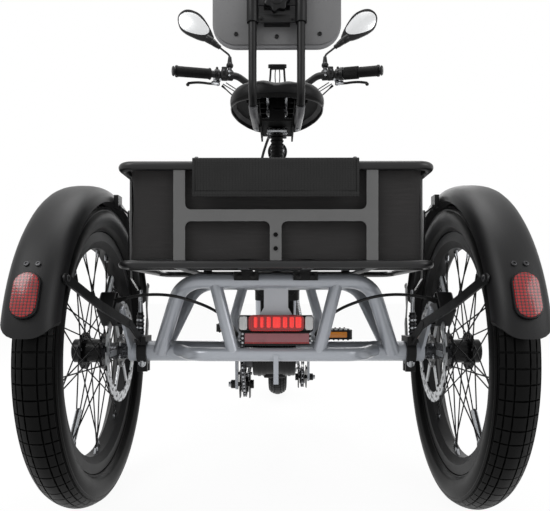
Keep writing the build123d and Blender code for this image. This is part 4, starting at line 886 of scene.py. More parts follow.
def guard(centre, first, last):
    """A domed mudguard with its inner skin and closed ends, between two angles from aft."""
    bm = bmesh.new()
    outer = GUARD_HALF[:0:-1] + [(-x, r) for x, r in GUARD_HALF]
    inner = [(x * 0.937, r - 2.5 * (r - 262) / 29) for x, r in reversed(outer)]
    turn = Matrix.Rotation(-radians(first), 4, "X")
    verts = []
    for x, r in outer + inner:
        verts.append(bm.verts.new(centre + turn @ (Vector((x, -r, 0)) * MM)))
    edges = [bm.edges.new(pair) for pair in zip(verts, verts[1:] + verts[:1])]
    bmesh.ops.spin(bm, geom=verts + edges, cent=centre, axis=(1, 0, 0),
                   angle=-radians(last - first), steps=56)
    bmesh.ops.holes_fill(bm, edges=[e for e in bm.edges if e.is_boundary], sides=0)
    for vert in bm.verts:
        away = vert.co - centre
        turn_now = atan2(away.z, -away.y)
        for end, way in ((radians(first), -1), (radians(last), 1)):
            near = max(0.0, 1 - abs(turn_now - end) / radians(14))
            pull = radians(5.5) * near * abs(away.x / 0.0395) ** 3.2
            vert.co = centre + Matrix.Rotation(way * pull, 3, "X") @ (vert.co - centre)
    return close_up(bm)


class TRICYCLE_OT_mudguards(bpy.types.Operator):
    """Moulds the domed mudguards with their reflectors and screws"""
    bl_idname = "tricycle.mudguards"
    bl_label = "Mudguards"

    def execute(self, context):
        for side, end in ((-1, "left"), (1, "right")):
            piece = Piece(f"mudguard_{end}_shell", "frame")
            piece.take(guard(at(side * REAR_WHEEL_X, 0, AXLE_Z), 8.1, 164.2), moulded_black())
            piece.done(f"mudguard_{end}", slot="mudguard_black", sharp=60)
        front = Piece("front_mudguard_shell", "steering")
        front.take(guard(at(0, WHEELBASE, AXLE_Z), 8.0, 140.0), moulded_black())
        front.take(rod(steer(0, 30, 288), steer(0, 30, 338), 7, sides=18, bevel=1), moulded_black())
        front.done("front_mudguard", slot="mudguard_black", sharp=60)
        self.fittings()
        return {"FINISHED"}

    def fittings(self):
        piece = Piece("guard_reflectors", "frame")
        spot, out = guard_point(19.5)
        place = lay(spot + out * 1.6 * MM, out, (0, out.z, -out.y))
        piece.pair(slab(66, 38, 7.0, place, 18, 1.4), smooth_black())
        lens = lay(spot + out * 5.0 * MM, out, (0, out.z, -out.y))
        piece.pair(slab(62, 34, 4.4, lens, 16.4, 1.6), red_reflector())
        piece.done("reflectors", slot="red_lens")

        screws = Piece("guard_screws", "frame")
        for angle, xs in ((28.8, (-8, 8)), (96, (-5, 5)), (150, (0,))):
            spot, out = guard_point(angle, -0.6)
            for x in xs:
                screws.pair(socket_screw(spot + Vector((x * MM, 0, 0)), out, 3.7, 2.6),
                            steel_screw())
        screws.done(slot="black_steel")


# ---------------------------------------------------------------- cloth and padding
@material_maker
def webbing(n, shader):
    """The coarse woven band of the flap, with painted shade darkening the grooves between its ribs.
    """
    x, _, z = n.split(n.place())
    ribs = n.math("ABSOLUTE", n.math("SINE", n.math("MULTIPLY", x, pi / 0.0042)))
    steps = n.math("ABSOLUTE", n.math("SINE", n.math("MULTIPLY", z, pi / 0.0031)))
    threads = n.math("MULTIPLY_ADD", steps, 0.35, ribs)
    tone = n.tone("#111111", "#1f1f1f", 14.0, 0.7)
    n.dress(shader, (0.55, 0.0009, threads), Specular_IOR_Level=0.25,
            # The grooves between the ribs are painted near-black: painted shade.
            Base_Color=n.mix(n.ramp(threads, 0.9, 0.15), tone["Colour"], tint("#090909")),
            Roughness=n.math("MULTIPLY_ADD", tone["Mask"], 0.1, 0.68))


@material_maker
def fabric(n, shader, colour, threads, roughness):
    """Woven cloth with slubs, a little paler in patches that noise spreads."""
    woven = n.use(weave(), Threads=threads)
    n.dress(shader, (0.3, 0.0007, woven["Height"]), Specular_IOR_Level=0.12,
            Base_Color=n.mix(woven["Mask"], tint(colour), tint(colour, 1.28)),
            Roughness=n.math("MULTIPLY_ADD", woven["Mask"], 0.1, roughness))


cloth = partial(fabric, "Bag cloth", "cloth", 620.0, 0.72)


@material_maker
def vinyl(n, shader):
    """Soft black vinyl with a fine leather grain and creases."""
    tone = n.use(mottle(), Base=tint("vinyl", 0.8), Second=tint("vinyl", 1.5), Scale=11.0,
                 Amount=0.6)
    skin = n.use(grain(), Scale=520.0)["Height"]
    creases = n.add("TexNoise", Vector=n.place(), Scale=24.0, Detail=4.0, Distortion=1.2)
    height = n.math("MULTIPLY_ADD", creases.outputs[0], 1.4, n.math("MULTIPLY", skin, 0.35))
    n.dress(shader, (0.28, 0.0012, height), Base_Color=tone["Colour"], Specular_IOR_Level=0.14,
            Roughness=n.math("MULTIPLY_ADD", tone["Mask"], 0.14, 0.4))


PUFF_STEPS = 20


def puffed(name, shape, swell, cell=0.005):
    """A closed shape remeshed and blown up by cloth pressure, no point moving past the cap."""
    mesh = bpy.data.meshes.new(name)
    shape.to_mesh(mesh)
    shape.free()
    made = put(name, mesh)
    remesh = made.modifiers.new("remesh", "REMESH")
    remesh.mode = "VOXEL"
    remesh.voxel_size = cell
    remesh.use_smooth_shade = True
    settle(made)
    before = [vert.co.copy() for vert in made.data.vertices]
    cushion = made.modifiers.new("cloth", "CLOTH")
    cushion.settings.use_pressure = True
    cushion.settings.uniform_pressure_force = 4
    cushion.settings.effector_weights.gravity = 0
    cushion.point_cache.frame_start = 1
    cushion.point_cache.frame_end = PUFF_STEPS
    for step in range(1, PUFF_STEPS + 1):
        bpy.context.scene.frame_set(step)
        bpy.context.view_layer.update()
    settle(made)
    bpy.context.scene.frame_set(1)
    for vert, start in zip(made.data.vertices, before):
        move = vert.co - start
        if move.length > swell:
            vert.co = start + move.normalized() * swell
    bm = bmesh.new()
    bm.from_mesh(made.data)
    for _ in range(3):
        soften(bm)
    bpy.data.objects.remove(made)
    return bm


def soften(bm):
    bmesh.ops.smooth_vert(bm, verts=bm.verts[:], factor=0.5, use_axis_x=True, use_axis_y=True,
                          use_axis_z=True)


def settle(made):
    """Bakes an object's modifiers into its mesh."""
    bpy.context.view_layer.update()
    ready = made.evaluated_get(bpy.context.evaluated_depsgraph_get())
    mesh = bpy.data.meshes.new_from_object(ready)
    made.modifiers.clear()
    made.data = mesh


def rounded_outline(points, count=8):
    """A smooth closed outline through flat points in millimetres."""
    curve = bpy.data.curves.new("outline", "CURVE")
    spline = curve.splines.new("BEZIER")
    spline.bezier_points.add(len(points) - 1)
    for knot, (x, y) in zip(spline.bezier_points, points):
        knot.co = (x, y, 0)
        knot.handle_left_type = knot.handle_right_type = "AUTO"
    spline.use_cyclic_u = True
    spline.resolution_u = count
    bm = drawn(curve)
    found = [(vert.co.x, vert.co.y) for vert in bm.verts]
    bm.free()
    return found


# ---------------------------------------------------------------- basket bag
BAG_FLOOR = 418


class TRICYCLE_OT_basket_bag(bpy.types.Operator):
    """Sews the cloth bag that hangs in the basket, and the woven flap over its rear rim"""
    bl_idname = "tricycle.basket_bag"
    bl_label = "Basket bag"

    def execute(self, context):
        bag = self.bag()
        self.bands(bag)
        self.flap()
        self.clamps()
        return {"FINISHED"}

    def bag(self):
        bm = box((-220, -174, BAG_FLOOR), (220, 145, 560), corner=19)
        roof = [f for f in bm.faces if f.normal.z > 0.9]
        bmesh.ops.delete(bm, geom=roof, context="FACES_ONLY")
        cuts = ((2, range(432, 560, 14)), (0, range(-198, 200, 18)), (1, range(-150, 140, 18)))
        for axis, spots in cuts:
            for spot in spots:
                place, way = Vector(), Vector()
                place[axis], way[axis] = spot, 1
                bmesh.ops.bisect_plane(bm, geom=bm.verts[:] + bm.edges[:] + bm.faces[:],
                                       plane_co=at(*place), plane_no=way)
        centre = at(0, -14.5, 0)
        for vert in bm.verts:
            drop = (vert.co.z / MM - BAG_FLOOR) / 142
            sag = sin(pi * min(1, max(0, drop))) * 2.4 * MM
            ripple = noise.noise(vert.co * 16) * 3.4 * MM * min(1, drop * 4)
            away = vert.co - centre
            away.z = 0
            if drop > 0.01 and away.length:
                vert.co -= away.normalized() * max(0, sag + ripple)
            elif drop <= 0.01:
                vert.co.z += (1.5 + noise.noise(vert.co * 14) * 1.5) * MM
        return Piece("basket_bag", "frame").take(bm, cloth()).done(
            "basket_liner", slot="basket_cloth", sharp=60)

    def bands(self, bag):
        """A binding round the mouth and a piped seam round the floor."""
        piece = Piece("basket_bag_seams", "frame")
        for height, reach, radius in ((559.5, 0.5, 2.2), (422.5, -0.6, 1.5)):
            ring = slab(440 + 2 * reach, 319 + 2 * reach, 2 * radius, Matrix.Translation(
                at(0, -14.5, height)), 19)
            caps = [f for f in ring.faces if abs(f.normal.z) > 0.9]
            bmesh.ops.inset_region(ring, faces=caps, thickness=2 * radius * MM)
            bmesh.ops.delete(ring, geom=[f for f in caps if len(f.verts) > 8], context="FACES")
            holes = [e for e in ring.edges if e.is_boundary]
            bmesh.ops.bridge_loops(ring, edges=holes)
            piece.take(close_up(ring), cloth())
        seams = piece.done(slot="basket_cloth")

    def flap(self):
        """The flap: hung down behind the rear rim and folded in over it."""
        bm = bmesh.new()
        bmesh.ops.create_grid(bm, x_segments=40, y_segments=18, size=0.5)
        drop, fold, top = 55.0, 22.0, 566.0
        for vert in bm.verts:
            side, run = vert.co.x * 243, (0.5 - vert.co.y) * (drop + fold + 5)
            bend = min(max((run - fold) / 5, 0), 1)
            hang = max(0, run - fold - 5)
            away = noise.noise((side * 0.02, hang * 0.04, 3.1)) * 0.7
            vert.co = at(side, -169 - min(run, fold) - 2.2 * bend + away * min(1, hang / 12) - 0.4,
                         top - 1.6 * bend ** 2 - hang)
        flap = Piece("basket_flap_woven", "frame").take(bm, webbing("Flap webbing")).done(
            "basket_flap", slot="ribbed_webbing", sharp=60)
        hem = Piece("basket_flap_hem", "frame")
        for low, high, bevel in (((-121.5, -194.2, 512), (-117.5, -192.4, 564), 0.4),
                                 ((117.5, -194.2, 512), (121.5, -192.4, 564), 0.4),
                                 ((-121.5, -194.4, 508.5), (121.5, -192.2, 516), 0.6),
                                 ((-121.5, -194.0, 517.5), (121.5, -192.2, 518.5), 0.3)):
            hem.take(box(low, high, bevel), webbing("Flap webbing"))
        for x in (-116, 116):
            hem.take(spun([(0, 2.6), (2.2, 2.0), (4.2, 0), (0, 0)], at(x, -188, 566), (0, 0, 1),
                          16),
                     steel_screw())
        hem = hem.done(slot="ribbed_webbing")

    def clamps(self):
        """Bolted straps that hold the basket's floor down to the clamp blocks."""
        piece = Piece("basket_clamps", "frame")
        for y in (-85, 85):
            for x in (-48, 48):
                piece.take(box((x - 17, y - 14, 416.4), (x + 17, y + 14, 418.0), 0.4, 3),
                           bright_steel())
                way = -1 if y < 0 else 1
                for bolt_x in (x - 11, x + 11):
                    piece.take(hex_bolt(at(bolt_x, y + 16 * way, 397), (0, way, 0), 6, 2.6),
                               black_lacquer())
        # Two near-black screw heads on the rear bar: painted shade standing in for the open holes
        # there.
        for z in (454.4, 434.1):
            piece.take(socket_screw(at(0, -186.2, z), (0, -1, 0), 3.3, 1.2), shadow_black())
        piece.done(slot="basket_steel")


# ---------------------------------------------------------------- saddle and backrest
SADDLE_HALF = [(0, 330), (46, 334), (91, 352), (119, 392), (127, 440), (121, 500), (106, 552),
               (70, 616), (38, 641), (0, 651)]


def saddle_ring(inset):
    """The saddle's outline from above, drawn in by an inset towards its middle line."""
    half = []
    for x, y in SADDLE_HALF:
        pull = inset * (y - 440) / 211 if y > 440 else -inset * (440 - y) / 110
        half.append((x * (1 - inset / 127), y - pull))
    return rounded_outline(half + [(-x, y) for x, y in reversed(half[1:-1])])


class TRICYCLE_OT_saddle(bpy.types.Operator):
    """Shapes the wide padded saddle over its hollow pan"""
    bl_idname = "tricycle.saddle"
    bl_label = "Saddle"

    def execute(self, context):
        self.cover()
        self.pan()
        return {"FINISHED"}

    def cover(self):
        swell = 3
        bm = plate(saddle_ring(swell), Matrix.Identity(4), 47 - swell)
        bm.normal_update()
        high = [e for e in rim_edges(bm) if e.verts[0].co.z > 0.02]
        round_off(bm, high, 22, 6)
        round_off(bm, [e for e in bm.edges if e.is_valid and e not in high
                       and max(v.co.z for v in e.verts) < 0.001
                       and any(f.normal.z > -0.5 for f in e.link_faces)], 8, 3)
        bmesh.ops.translate(bm, verts=bm.verts[:], vec=at(0, 0, 843))
        bm = puffed("saddle_cover", bm, 5 * MM)
        edge = [Vector(place) for place in saddle_ring(0)]
        for vert in bm.verts:
            x, y = vert.co.x / MM, vert.co.y / MM + REAR_AXLE_BACK
            lift = (vert.co.z / MM - 843) / 47
            dip = 4.2 * max(0, 1 - ((y - 470) / 120) ** 2)
            channel = 4 * max(0, 1 - (x / 16) ** 2) * (370 < y < 600)
            if lift > 0.3:
                vert.co.z -= (dip + channel) * lift * MM
            else:
                away = min((place - Vector((x, y))).length for place in edge)
                vert.co.z += min(24, max(0, away - 9) * 1.4) * (0.3 - max(0, lift)) / 0.3 * MM
        soften(bm)
        made = Piece("saddle_cover", "seat").take(bm, vinyl("Black vinyl")).done(
            "saddle", slot="seat_vinyl", sharp=80)

    def pan(self):
        piece = Piece("saddle_pan", "seat")
        outer = plate(saddle_ring(9), Matrix.Translation(at(0, 0, 842)), 20)
        outer.normal_update()
        under = [f for f in outer.faces if f.normal.z < -0.9]
        bmesh.ops.inset_region(outer, faces=under, thickness=2.4 * MM)
        bmesh.ops.inset_region(outer, faces=under, thickness=3 * MM, depth=-17 * MM)
        # The pan and the ribs below are shadow black: painted shade in the hollow under the cover.
        piece.take(outer, shadow_black())
        spots = [at(x, y, 843) for x, y in saddle_ring(10)]
        piece.take(swept(spots + spots[:1], 1.6, 8, smooth=False), smooth_black())
        for y in (400, 440, 480, 520):
            half = 76 - (y - 400) * 0.25
            piece.take(box((-half, y, 850), (half, y + 3, 863), 0.4), shadow_black())
        for x in (-44, 44):
            piece.take(box((x - 1.5, 380, 850), (x + 1.5, 540, 863), 0.4), shadow_black())
        piece.done(slot="plastic_black")

        frame_piece = Piece("saddle_rails", "seat")
        for x in (-23, 23):
            route = [at(x, 372, 858), at(x, 380, 846), at(x * 0.95, 400, 838),
                     at(x * 0.9, 470, 836),
                     at(x * 0.75, 540, 842), at(x * 0.6, 575, 856)]
            frame_piece.take(swept(route, 3.6, 12), bright_steel())
        frame_piece.take(box((-30, 404, 806), (30, 446, 816), 1.5, 5), dark_steel())
        frame_piece.take(box((-27, 410, 830), (27, 440, 842), 2, 4), dark_steel())
        for y in (414, 436):
            frame_piece.take(rod(at(0, y, 806), at(0, y, 846), 4, sides=14), bright_steel())
            frame_piece.take(hex_bolt(at(0, y, 842), (0, 0, 1), 8, 4), bright_steel())
        frame_piece.take(box((-25, 432, 786), (25, 446, 797), 2.4), bright_steel())
        for x in (-20, 20):
            frame_piece.take(rod(at(x, 439, 797), at(x, 439, 772), 4.6, sides=16, bevel=0.8),
                             dark_steel())
            frame_piece.take(hex_bolt(at(x, 439, 786), (0, 0, -1), 9, 5), bright_steel())
        frame_piece.done(slot="black_steel")


class TRICYCLE_OT_seat_boot(bpy.types.Operator):
    """Moulds the bellows boot round the seat post"""
    bl_idname = "tricycle.seat_boot"
    bl_label = "Seat post boot"

    def execute(self, context):
        piece = Piece("seat_post_boot", "seat")
        up = 530 / sin(SEAT_ANGLE)
        foot = seat(0, 0, 0)
        way = (seat(0, 0, 1) - foot).normalized()
        profile = [(0, 300), (13.6, 300), (13.6, up - 94), (16.4, up - 93), (16.8, up - 90)]
        for n in range(9):
            low = up - 88 + 9.6 * n
            profile += [(17.6, low + 1.5), (17.6, low + 3.0), (15.2, low + 5.4), (15.2, low + 7.2)]
        profile += [(17.2, up - 1.5), (16.6, up), (13.6, up), (13.6, up + 9), (0, up + 9)]
        piece.take(spun(profile, foot, way, 40), black_rubber())
        low = up - 91
        piece.take(spun([(17.0, low - 3), (17.9, low - 2.4), (17.9, low + 2.4), (17.0, low + 3),
                         (16.0, low), (17.0, low - 3)], foot, way, 40), smooth_black())
        piece.done("seat_post", slot="plastic_black")
        return {"FINISHED"}


class TRICYCLE_OT_backrest(bpy.types.Operator):
    """Builds the padded backrest, its grey panel and the clamp with its star knob"""
    bl_idname = "tricycle.backrest"
    bl_label = "Backrest"

    def execute(self, context):
        self.pad()
        self.panel()
        self.post_caps()
        return {"FINISHED"}

    def pad(self):
        inset = 4
        place = lay(at(0, 330, 1038.5), (0, 1, 0), (1, 0, 0))
        bm = slab(292 - 2 * inset, 176 - 2 * inset, 30 - inset, place, 53, 13, 8)
        bm = puffed("backrest_cushion", bm, 6 * MM)
        for vert in bm.verts:
            vert.co.y = min(max(vert.co.y, at(0, 306.6, 0).y), at(0, 346, 0).y)
            if vert.co.y > at(0, 330, 0).y:
                vert.co.y -= 3.6 * MM * (1 - (vert.co.x / MM / 150) ** 2)
        made = Piece("backrest_cushion", "backrest").take(bm, vinyl("Black vinyl")).done(
            "backrest_pad", slot="seat_vinyl", sharp=80)
        piping = slab(301, 187, 14, lay(at(0, 313, 1038.5), (0, 1, 0), (1, 0, 0)), 57, 4, 10)
        Piece("backrest_piping", "backrest").take(piping, band_grey()).done(slot="seat_vinyl")

    def panel(self):
        piece = Piece("backrest_clamp", "backrest")
        middle = at(0, 304, 1040.5)
        piece.take(slab(298, 177, 4, lay(middle, (0, 1, 0), (1, 0, 0)), 54, 1.2, 10), panel_grey())
        for x, z in ((-95, 976), (0, 970), (100, 976), (-95, 1110), (98, 1110)):
            piece.take(socket_screw(at(x, 302, z), (0, -1, 0), 5.0, 3.0), smooth_black())
        for x in (-55.5, 55.5):
            piece.take(spun([(9.6, 0), (13.1, 0), (13.5, 1.2), (13.5, 126.8), (13.1, 128),
                             (9.6, 128),
                             (9.6, 0)], at(x, 280, 992), (0, 0, 1), 32), black_lacquer())
        for z in (1001, 1040, 1100):
            piece.take(box((-56, 278, z - 9), (56, 282, z + 9), 1.0, 4, (0, 1, 0)), black_lacquer())
            piece.take(box((-30, 281, z - 9), (30, 302, z + 9), 1.2), black_lacquer())
        for x in (-36, 36):
            piece.take(hex_bolt(at(x, 278, 1001), (0, -1, 0), 7, 4), smooth_black())
            piece.take(hex_bolt(at(x, 278, 1100), (0, -1, 0), 7, 4), bright_steel())
        self.knob(piece)
        piece.done("backrest_carrier", slot="black_steel")

    def knob(self, piece):
        """A seven-lobed clamping knob on its stud."""
        points = []
        for n in range(56):
            turn = tau * n / 56
            reach = 27.5 + 3.4 * cos(7 * turn)
            points.append((reach * cos(turn), reach * sin(turn)))
        place = lay(at(0, 278, 1040), (0, -1, 0), (1, 0, 0))
        piece.take(plate(points, place, 16, 3.2), smooth_black())
        piece.take(spun([(0, 19.4), (12, 19.2), (15, 17.4), (15.4, 15.6), (0, 15.6)],
                        at(0, 278, 1040), (0, -1, 0), 32), moulded_black())
        piece.take(rod(at(0, 300, 1040), at(0, 260, 1040), 5, sides=16), dark_steel())

    def post_caps(self):
        piece = Piece("backrest_post_caps", "seat")
        for x in (-55.5, 55.5):
            piece.take(spun([(0, 4), (8, 3.6), (10.3, 1.6), (10.3, -7), (9.5, -7), (9.5, 0),
                             (0, 0)],
                            at(x, 280, 1116), (0, 0, 1), 28), smooth_black())
        piece.done(slot="plastic_black")
        collars = Piece("backrest_post_collars", "seat")
        for side in (-1, 1):
            route = []
            for y, z in ((297, 807), (304, 802), (320, 797.8), (340, 797), (430, 797)):
                route.append(at(side * (55.5 - 0.03 * (y - 280)), y, z))
            collars.take(swept(route, 10.5, 20), collar_grey())
            collars.take(socket_screw(at(side * 51.2, 412, 787), (0, 0, -1), 4.4, 2.4),
                         bright_steel())
        collars.done(slot="black_steel")


# ---------------------------------------------------------------- handlebar
# Where the fittings sit on the bar, by their distance across from its middle.
MIRROR_X, POD_X, LEVER_X, THROTTLE_X, GRIP_X = 156, 173, 196, 203, 217
SWITCH_LEAD = ((0, 0, 0), (-18, 12, -8), (-46, 22, -22), (-80, 30, -44), (-118, 30, -66))
BAR = (Vector((132, 853.2, 1095)), Vector((331, 770, 1079)))


def along_bar(x):
    """A point on the swept end of the bar, in millimetres, and the way out along it."""
    a, b = BAR
    way = (b - a).normalized()
    return a + way * ((x - a.x) / way.x), way


def on_bar(x, profile, steps=32):
    """A profile turned round the right end of the bar, counted outwards from x."""
    spot, way = along_bar(x)
    return spun(profile, at(*spot), way, steps)


class TRICYCLE_OT_grips(bpy.types.Operator):
    """Moulds the grips, with end caps and a ribbed twist throttle on the right"""
    bl_idname = "tricycle.grips"
    bl_label = "Grips"

    def execute(self, context):
        piece = Piece("grip_sleeves", "steering")
        plain = [(11.3, 0), (17.6, 0), (18.2, 1.2), (18.2, 3.6), (16.2, 5.5), (15.6, 30),
                 (15.9, 70),
                 (16.4, 106), (18.0, 108), (18.2, 111), (17.4, 113.6), (11.3, 113.6), (11.3, 0)]
        piece.pair(on_bar(GRIP_X, plain), black_rubber())
        for n in range(24):
            low = 10 + 4 * n
            rib = [(15.0, low), (16.35, low + 0.5), (16.35, low + 1.9), (15.0, low + 2.4),
                   (15.0, low)]
            piece.pair(on_bar(GRIP_X, rib, 24), black_rubber())
        piece.pair(on_bar(328, [(0, 3.5), (13, 3.2), (15.2, 1.0), (15.2, -1.5), (0, -1.5)]),
                   moulded_black())
        piece.done("grips", slot="grip_rubber", sharp=50)

        throttle = Piece("twist_throttle", "steering")
        throttle.take(on_bar(THROTTLE_X, [(11.3, 0), (19.5, 0), (20.4, 1), (20.4, 11), (19.5, 12),
                                          (11.3, 12), (11.3, 0)]), smooth_black())
        points = []
        for n in range(72):
            reach = 18.6 + 0.9 * (n % 2)
            points.append((reach * cos(tau * n / 72), reach * sin(tau * n / 72)))
        spot, way = along_bar(GRIP_X)
        throttle.take(plate(points, lay(at(*spot), way), 46), black_rubber())
        throttle.done(slot="grip_rubber", sharp=40)
        return {"FINISHED"}


class TRICYCLE_OT_levers(bpy.types.Operator):
    """Builds the brake levers, their perches, adjusters and switch pods"""
    bl_idname = "tricycle.levers"
    bl_label = "Brake levers"

    def execute(self, context):
        piece = Piece("lever_sets", "steering")
        ring = [(11.2, -7), (15.2, -7), (16.2, -5.5), (16.2, 5.5), (15.2, 7), (11.2, 7), (11.2, -7)]
        piece.pair(on_bar(LEVER_X, ring), smooth_black())
        spot, out = along_bar(LEVER_X)
        base = at(*spot)
        down, fore = Vector((0, 0, -1)), Vector((0, 1, 0))
        perch = base + fore * 17 * MM + down * 5 * MM
        piece.pair(slab(26, 30, 16, lay(perch, down, out), 5, 1.6), bright_steel())
        piece.pair(rod(base + down * -13 * MM, base + down * -24 * MM, 5.5, 3.6, 14, 1.0),
                   smooth_black())
        piece.pair(rod(perch + down * 3 * MM + out * -9 * MM, perch + down * 5 * MM - out * 24 * MM,
                       4.4, 3.4, 16, 0.6), bright_steel())
        hinge = base + fore * 26 * MM + down * 20 * MM
        piece.pair(rod(hinge + down * 5 * MM, hinge - down * 16 * MM, 6.5, sides=18, bevel=0.8),
                   smooth_black())
        piece.pair(slab(26, 15, 9, lay(hinge + out * 10 * MM, down, out), 4, 1.2), bright_steel())
        piece.pair(socket_screw(hinge + down * 5 * MM, down, 3.6, 2.2), bright_steel())
        blade = [hinge + out * 8 * MM, hinge + out * 26 * MM + fore * 4 * MM + down * 1 * MM,
                 hinge + out * 52 * MM - fore * 2 * MM + down * 1 * MM,
                 hinge + out * 80 * MM - fore * 7 * MM + down * 4 * MM,
                 hinge + out * 100 * MM - fore * 8 * MM + down * 9 * MM]
        piece.pair(swept(blade, 4.2, 12), smooth_black())
        tip = blade[-1] - Vector((0, 0, 0.004))
        piece.pair(spun([(0, -6), (3.6, -4.8), (6, 0), (3.6, 4.8), (0, 6)], tip, (1, 0, 0), 16),
                   smooth_black())
        piece.done("brake_levers", slot="plastic_black")

        pods = Piece("switch_pods", "steering")
        pod = [(11.2, -9), (16.5, -9), (18.4, -7), (18.4, 7), (16.5, 9), (11.2, 9), (11.2, -9)]
        pods.pair(on_bar(POD_X, pod), moulded_black())
        base = at(*along_bar(POD_X)[0])
        aft = Vector((0, -1, 0))
        pods.pair(slab(17, 26, 12, lay(base + aft * 15 * MM, aft, (1, 0, 0)), 4, 1.6),
                  moulded_black())
        for lift, colour in ((7, dark_steel), (-3, black_rubber)):
            spot = base + aft * 21 * MM + Vector((0, 0, lift)) * MM
            pods.pair(rod(spot, spot + aft * 2.4 * MM, 3.2, sides=14, bevel=0.6), colour())
        pods.pair(slab(18, 16, 14, lay(base + Vector((0, 0, 18)) * MM, (0, 0, 1), (1, 0, 0)), 4, 2),
                  moulded_black())
        for run in ((-4, 14, -20), (6, 14, -24)):
            start = base + Vector(run) * MM
            lead = [start + Vector(step) * MM for step in SWITCH_LEAD]
            pods.pair(swept(lead, 1.6, 8), black_rubber())
        pods.done(slot="plastic_black")
        return {"FINISHED"}


MIRROR_GLASS = [(298, 1301), (270, 1296), (249, 1280), (232, 1259), (224, 1244), (225, 1236),
                (233, 1229), (245, 1227), (264, 1229), (293, 1237), (310, 1246), (319, 1259),
                (323, 1276), (320, 1289), (310, 1298)]
MIRROR_SHELL = [(298, 1312), (270, 1306), (250, 1293), (235, 1274), (222, 1252), (212, 1230),
                (209, 1218), (224, 1209), (240, 1209), (252, 1211), (280, 1222), (306, 1236),
                (321, 1251), (327, 1270), (328, 1285), (323, 1297), (312, 1307)]


class TRICYCLE_OT_mirrors(bpy.types.Operator):
    """Builds the teardrop mirrors on their thin rods"""
    bl_idname = "tricycle.mirrors"
    bl_label = "Mirrors"

    def execute(self, context):
        piece = Piece("mirror_heads", "steering")
        aft = (0, -1, 0)
        shell = rounded_outline([(x, z) for x, z in MIRROR_SHELL], 4)
        glass = rounded_outline([(x, z) for x, z in MIRROR_GLASS], 4)
        place = Matrix.Translation(at(0, 0, 0)) @ Matrix(((1, 0, 0, 0), (0, 0, -1, 0), (0, 1, 0, 0),
                                                          (0, 0, 0, 1)))
        back = Matrix.Translation(Vector((0, 857, 0)) * MM)
        piece.pair(plate(shell, back @ place, 13, 3.4), smooth_black())
        front = Matrix.Translation(Vector((0, 844.6, 0)) * MM)
        # The glass's even pale grey is partly a painted reflection.
        piece.pair(plate(glass, front @ place, 1.2, 0.3), mirror_glass_painted_reflection())
        neck = [at(232, 851, 1219), at(214, 850, 1207), at(200, 849, 1195), at(190, 848, 1187)]
        for a, b, r1, r2 in ((0, 1, 13.5, 11.5), (1, 2, 11.5, 9), (2, 3, 9, 6.2)):
            piece.pair(rod(neck[a], neck[b], r1, r2, 20, 0.6), smooth_black())
        piece.pair(rod(at(193, 848, 1190), at(189, 848, 1186), 7.4, 7.0, 20, 0.8), moulded_black())
        foot = along_bar(MIRROR_X)[0]
        top = foot + Vector((0, 0, 32))
        bend = [at(191, 848, 1188), at(178, 847, 1177), at(165, 846, 1167), at(157, 845, 1159),
                at(MIRROR_X, top.y + 1, 1150)]
        piece.pair(swept(bend, 3.4, 14), smooth_black())
        piece.pair(rod(at(MIRROR_X, top.y, top.z), at(MIRROR_X, top.y + 1, top.z + 29), 9.4, 5.6,
                       20, 1.0), smooth_black())
        piece.pair(spun([(0, 10), (7, 9), (11, 4.5), (12, 0), (11, -4.5), (7, -9), (0, -10)],
                        at(*top), (0, 0, 1), 24), smooth_black())
        piece.pair(rod(at(*foot) + Vector((0, 0, 0.01)), at(*top), 7, 7, 16), dark_steel())
        clamp = [(11.2, -9), (16, -9), (17, -7.6), (17, 7.6), (16, 9), (11.2, 9), (11.2, -9)]
        piece.pair(on_bar(MIRROR_X, clamp), smooth_black())
        for z in (-9, 9):
            piece.pair(socket_screw(at(*(foot + Vector((0, -16, z * 0.7)))), aft, 3.4, 2.6),
                       bright_steel())
        piece.done("mirrors", slot="plastic_black")
        return {"FINISHED"}


class TRICYCLE_OT_display(bpy.types.Operator):
    """Builds the display with its blank screen, and the bolts of the stem"""
    bl_idname = "tricycle.display"
    bl_label = "Display"

    def execute(self, context):
        piece = Piece("display_unit", "steering")
        spot = Vector((0, 866.2, 1032))
        tilt = Vector((0, -sin(radians(20)), cos(radians(20))))
        middle = at(0, spot.y + 4, 1132)
        piece.take(slab(61, 60, 13, lay(middle + tilt * 0.6 * MM, tilt, (1, 0, 0)), 8, 2.2),
                   smooth_black())
        piece.take(slab(48, 44, 1.2, lay(middle + tilt * 7.0 * MM, tilt, (1, 0, 0)), 4, 0.4),
                   blank_screen())
        piece.take(slab(50, 50, 5, lay(middle - tilt * 7 * MM, tilt, (1, 0, 0)), 7, 1.6),
                   moulded_black())
        for side in (-1, 1):
            x = side * 26.6
            piece.take(spun([(11.15, -2.3), (15, -2.3), (15, 2.3), (11.15, 2.3), (11.15, -2.3)],
                            at(x, spot.y, spot.z), (1, 0, 0), 28), smooth_black())
            leg = [at(x, spot.y, spot.z + 13), at(x * 0.98, spot.y + 1, spot.z + 40),
                   at(side * 23, spot.y + 2, spot.z + 70), at(side * 22, spot.y + 3, 1127)]
            piece.take(swept(leg, 3.6, 12), smooth_black())
            piece.take(rod(at(x, spot.y + 1, spot.z + 13), at(x * 0.97, spot.y + 1, spot.z + 34),
                           5.4, 3,
                           14), smooth_black())
            lead = [at(side * 6, spot.y + 6, 1126), at(side * 8.5, spot.y + 8, 1108),
                    at(side * 7, spot.y + 10, 1084), at(side * 5, spot.y + 10, 1052)]
            piece.take(swept(lead, 1.7, 8), black_rubber())
        for side in (-1, 1):
            for lift in (-1, 1):
                seat_at = steer(side * 15, 58, 816 + lift * 9)
                piece.take(socket_screw(seat_at, (0, cos(radians(20)), sin(radians(20))), 3.6, 3),
                           bright_steel())
        piece.done("display", slot="plastic_black")
        return {"FINISHED"}


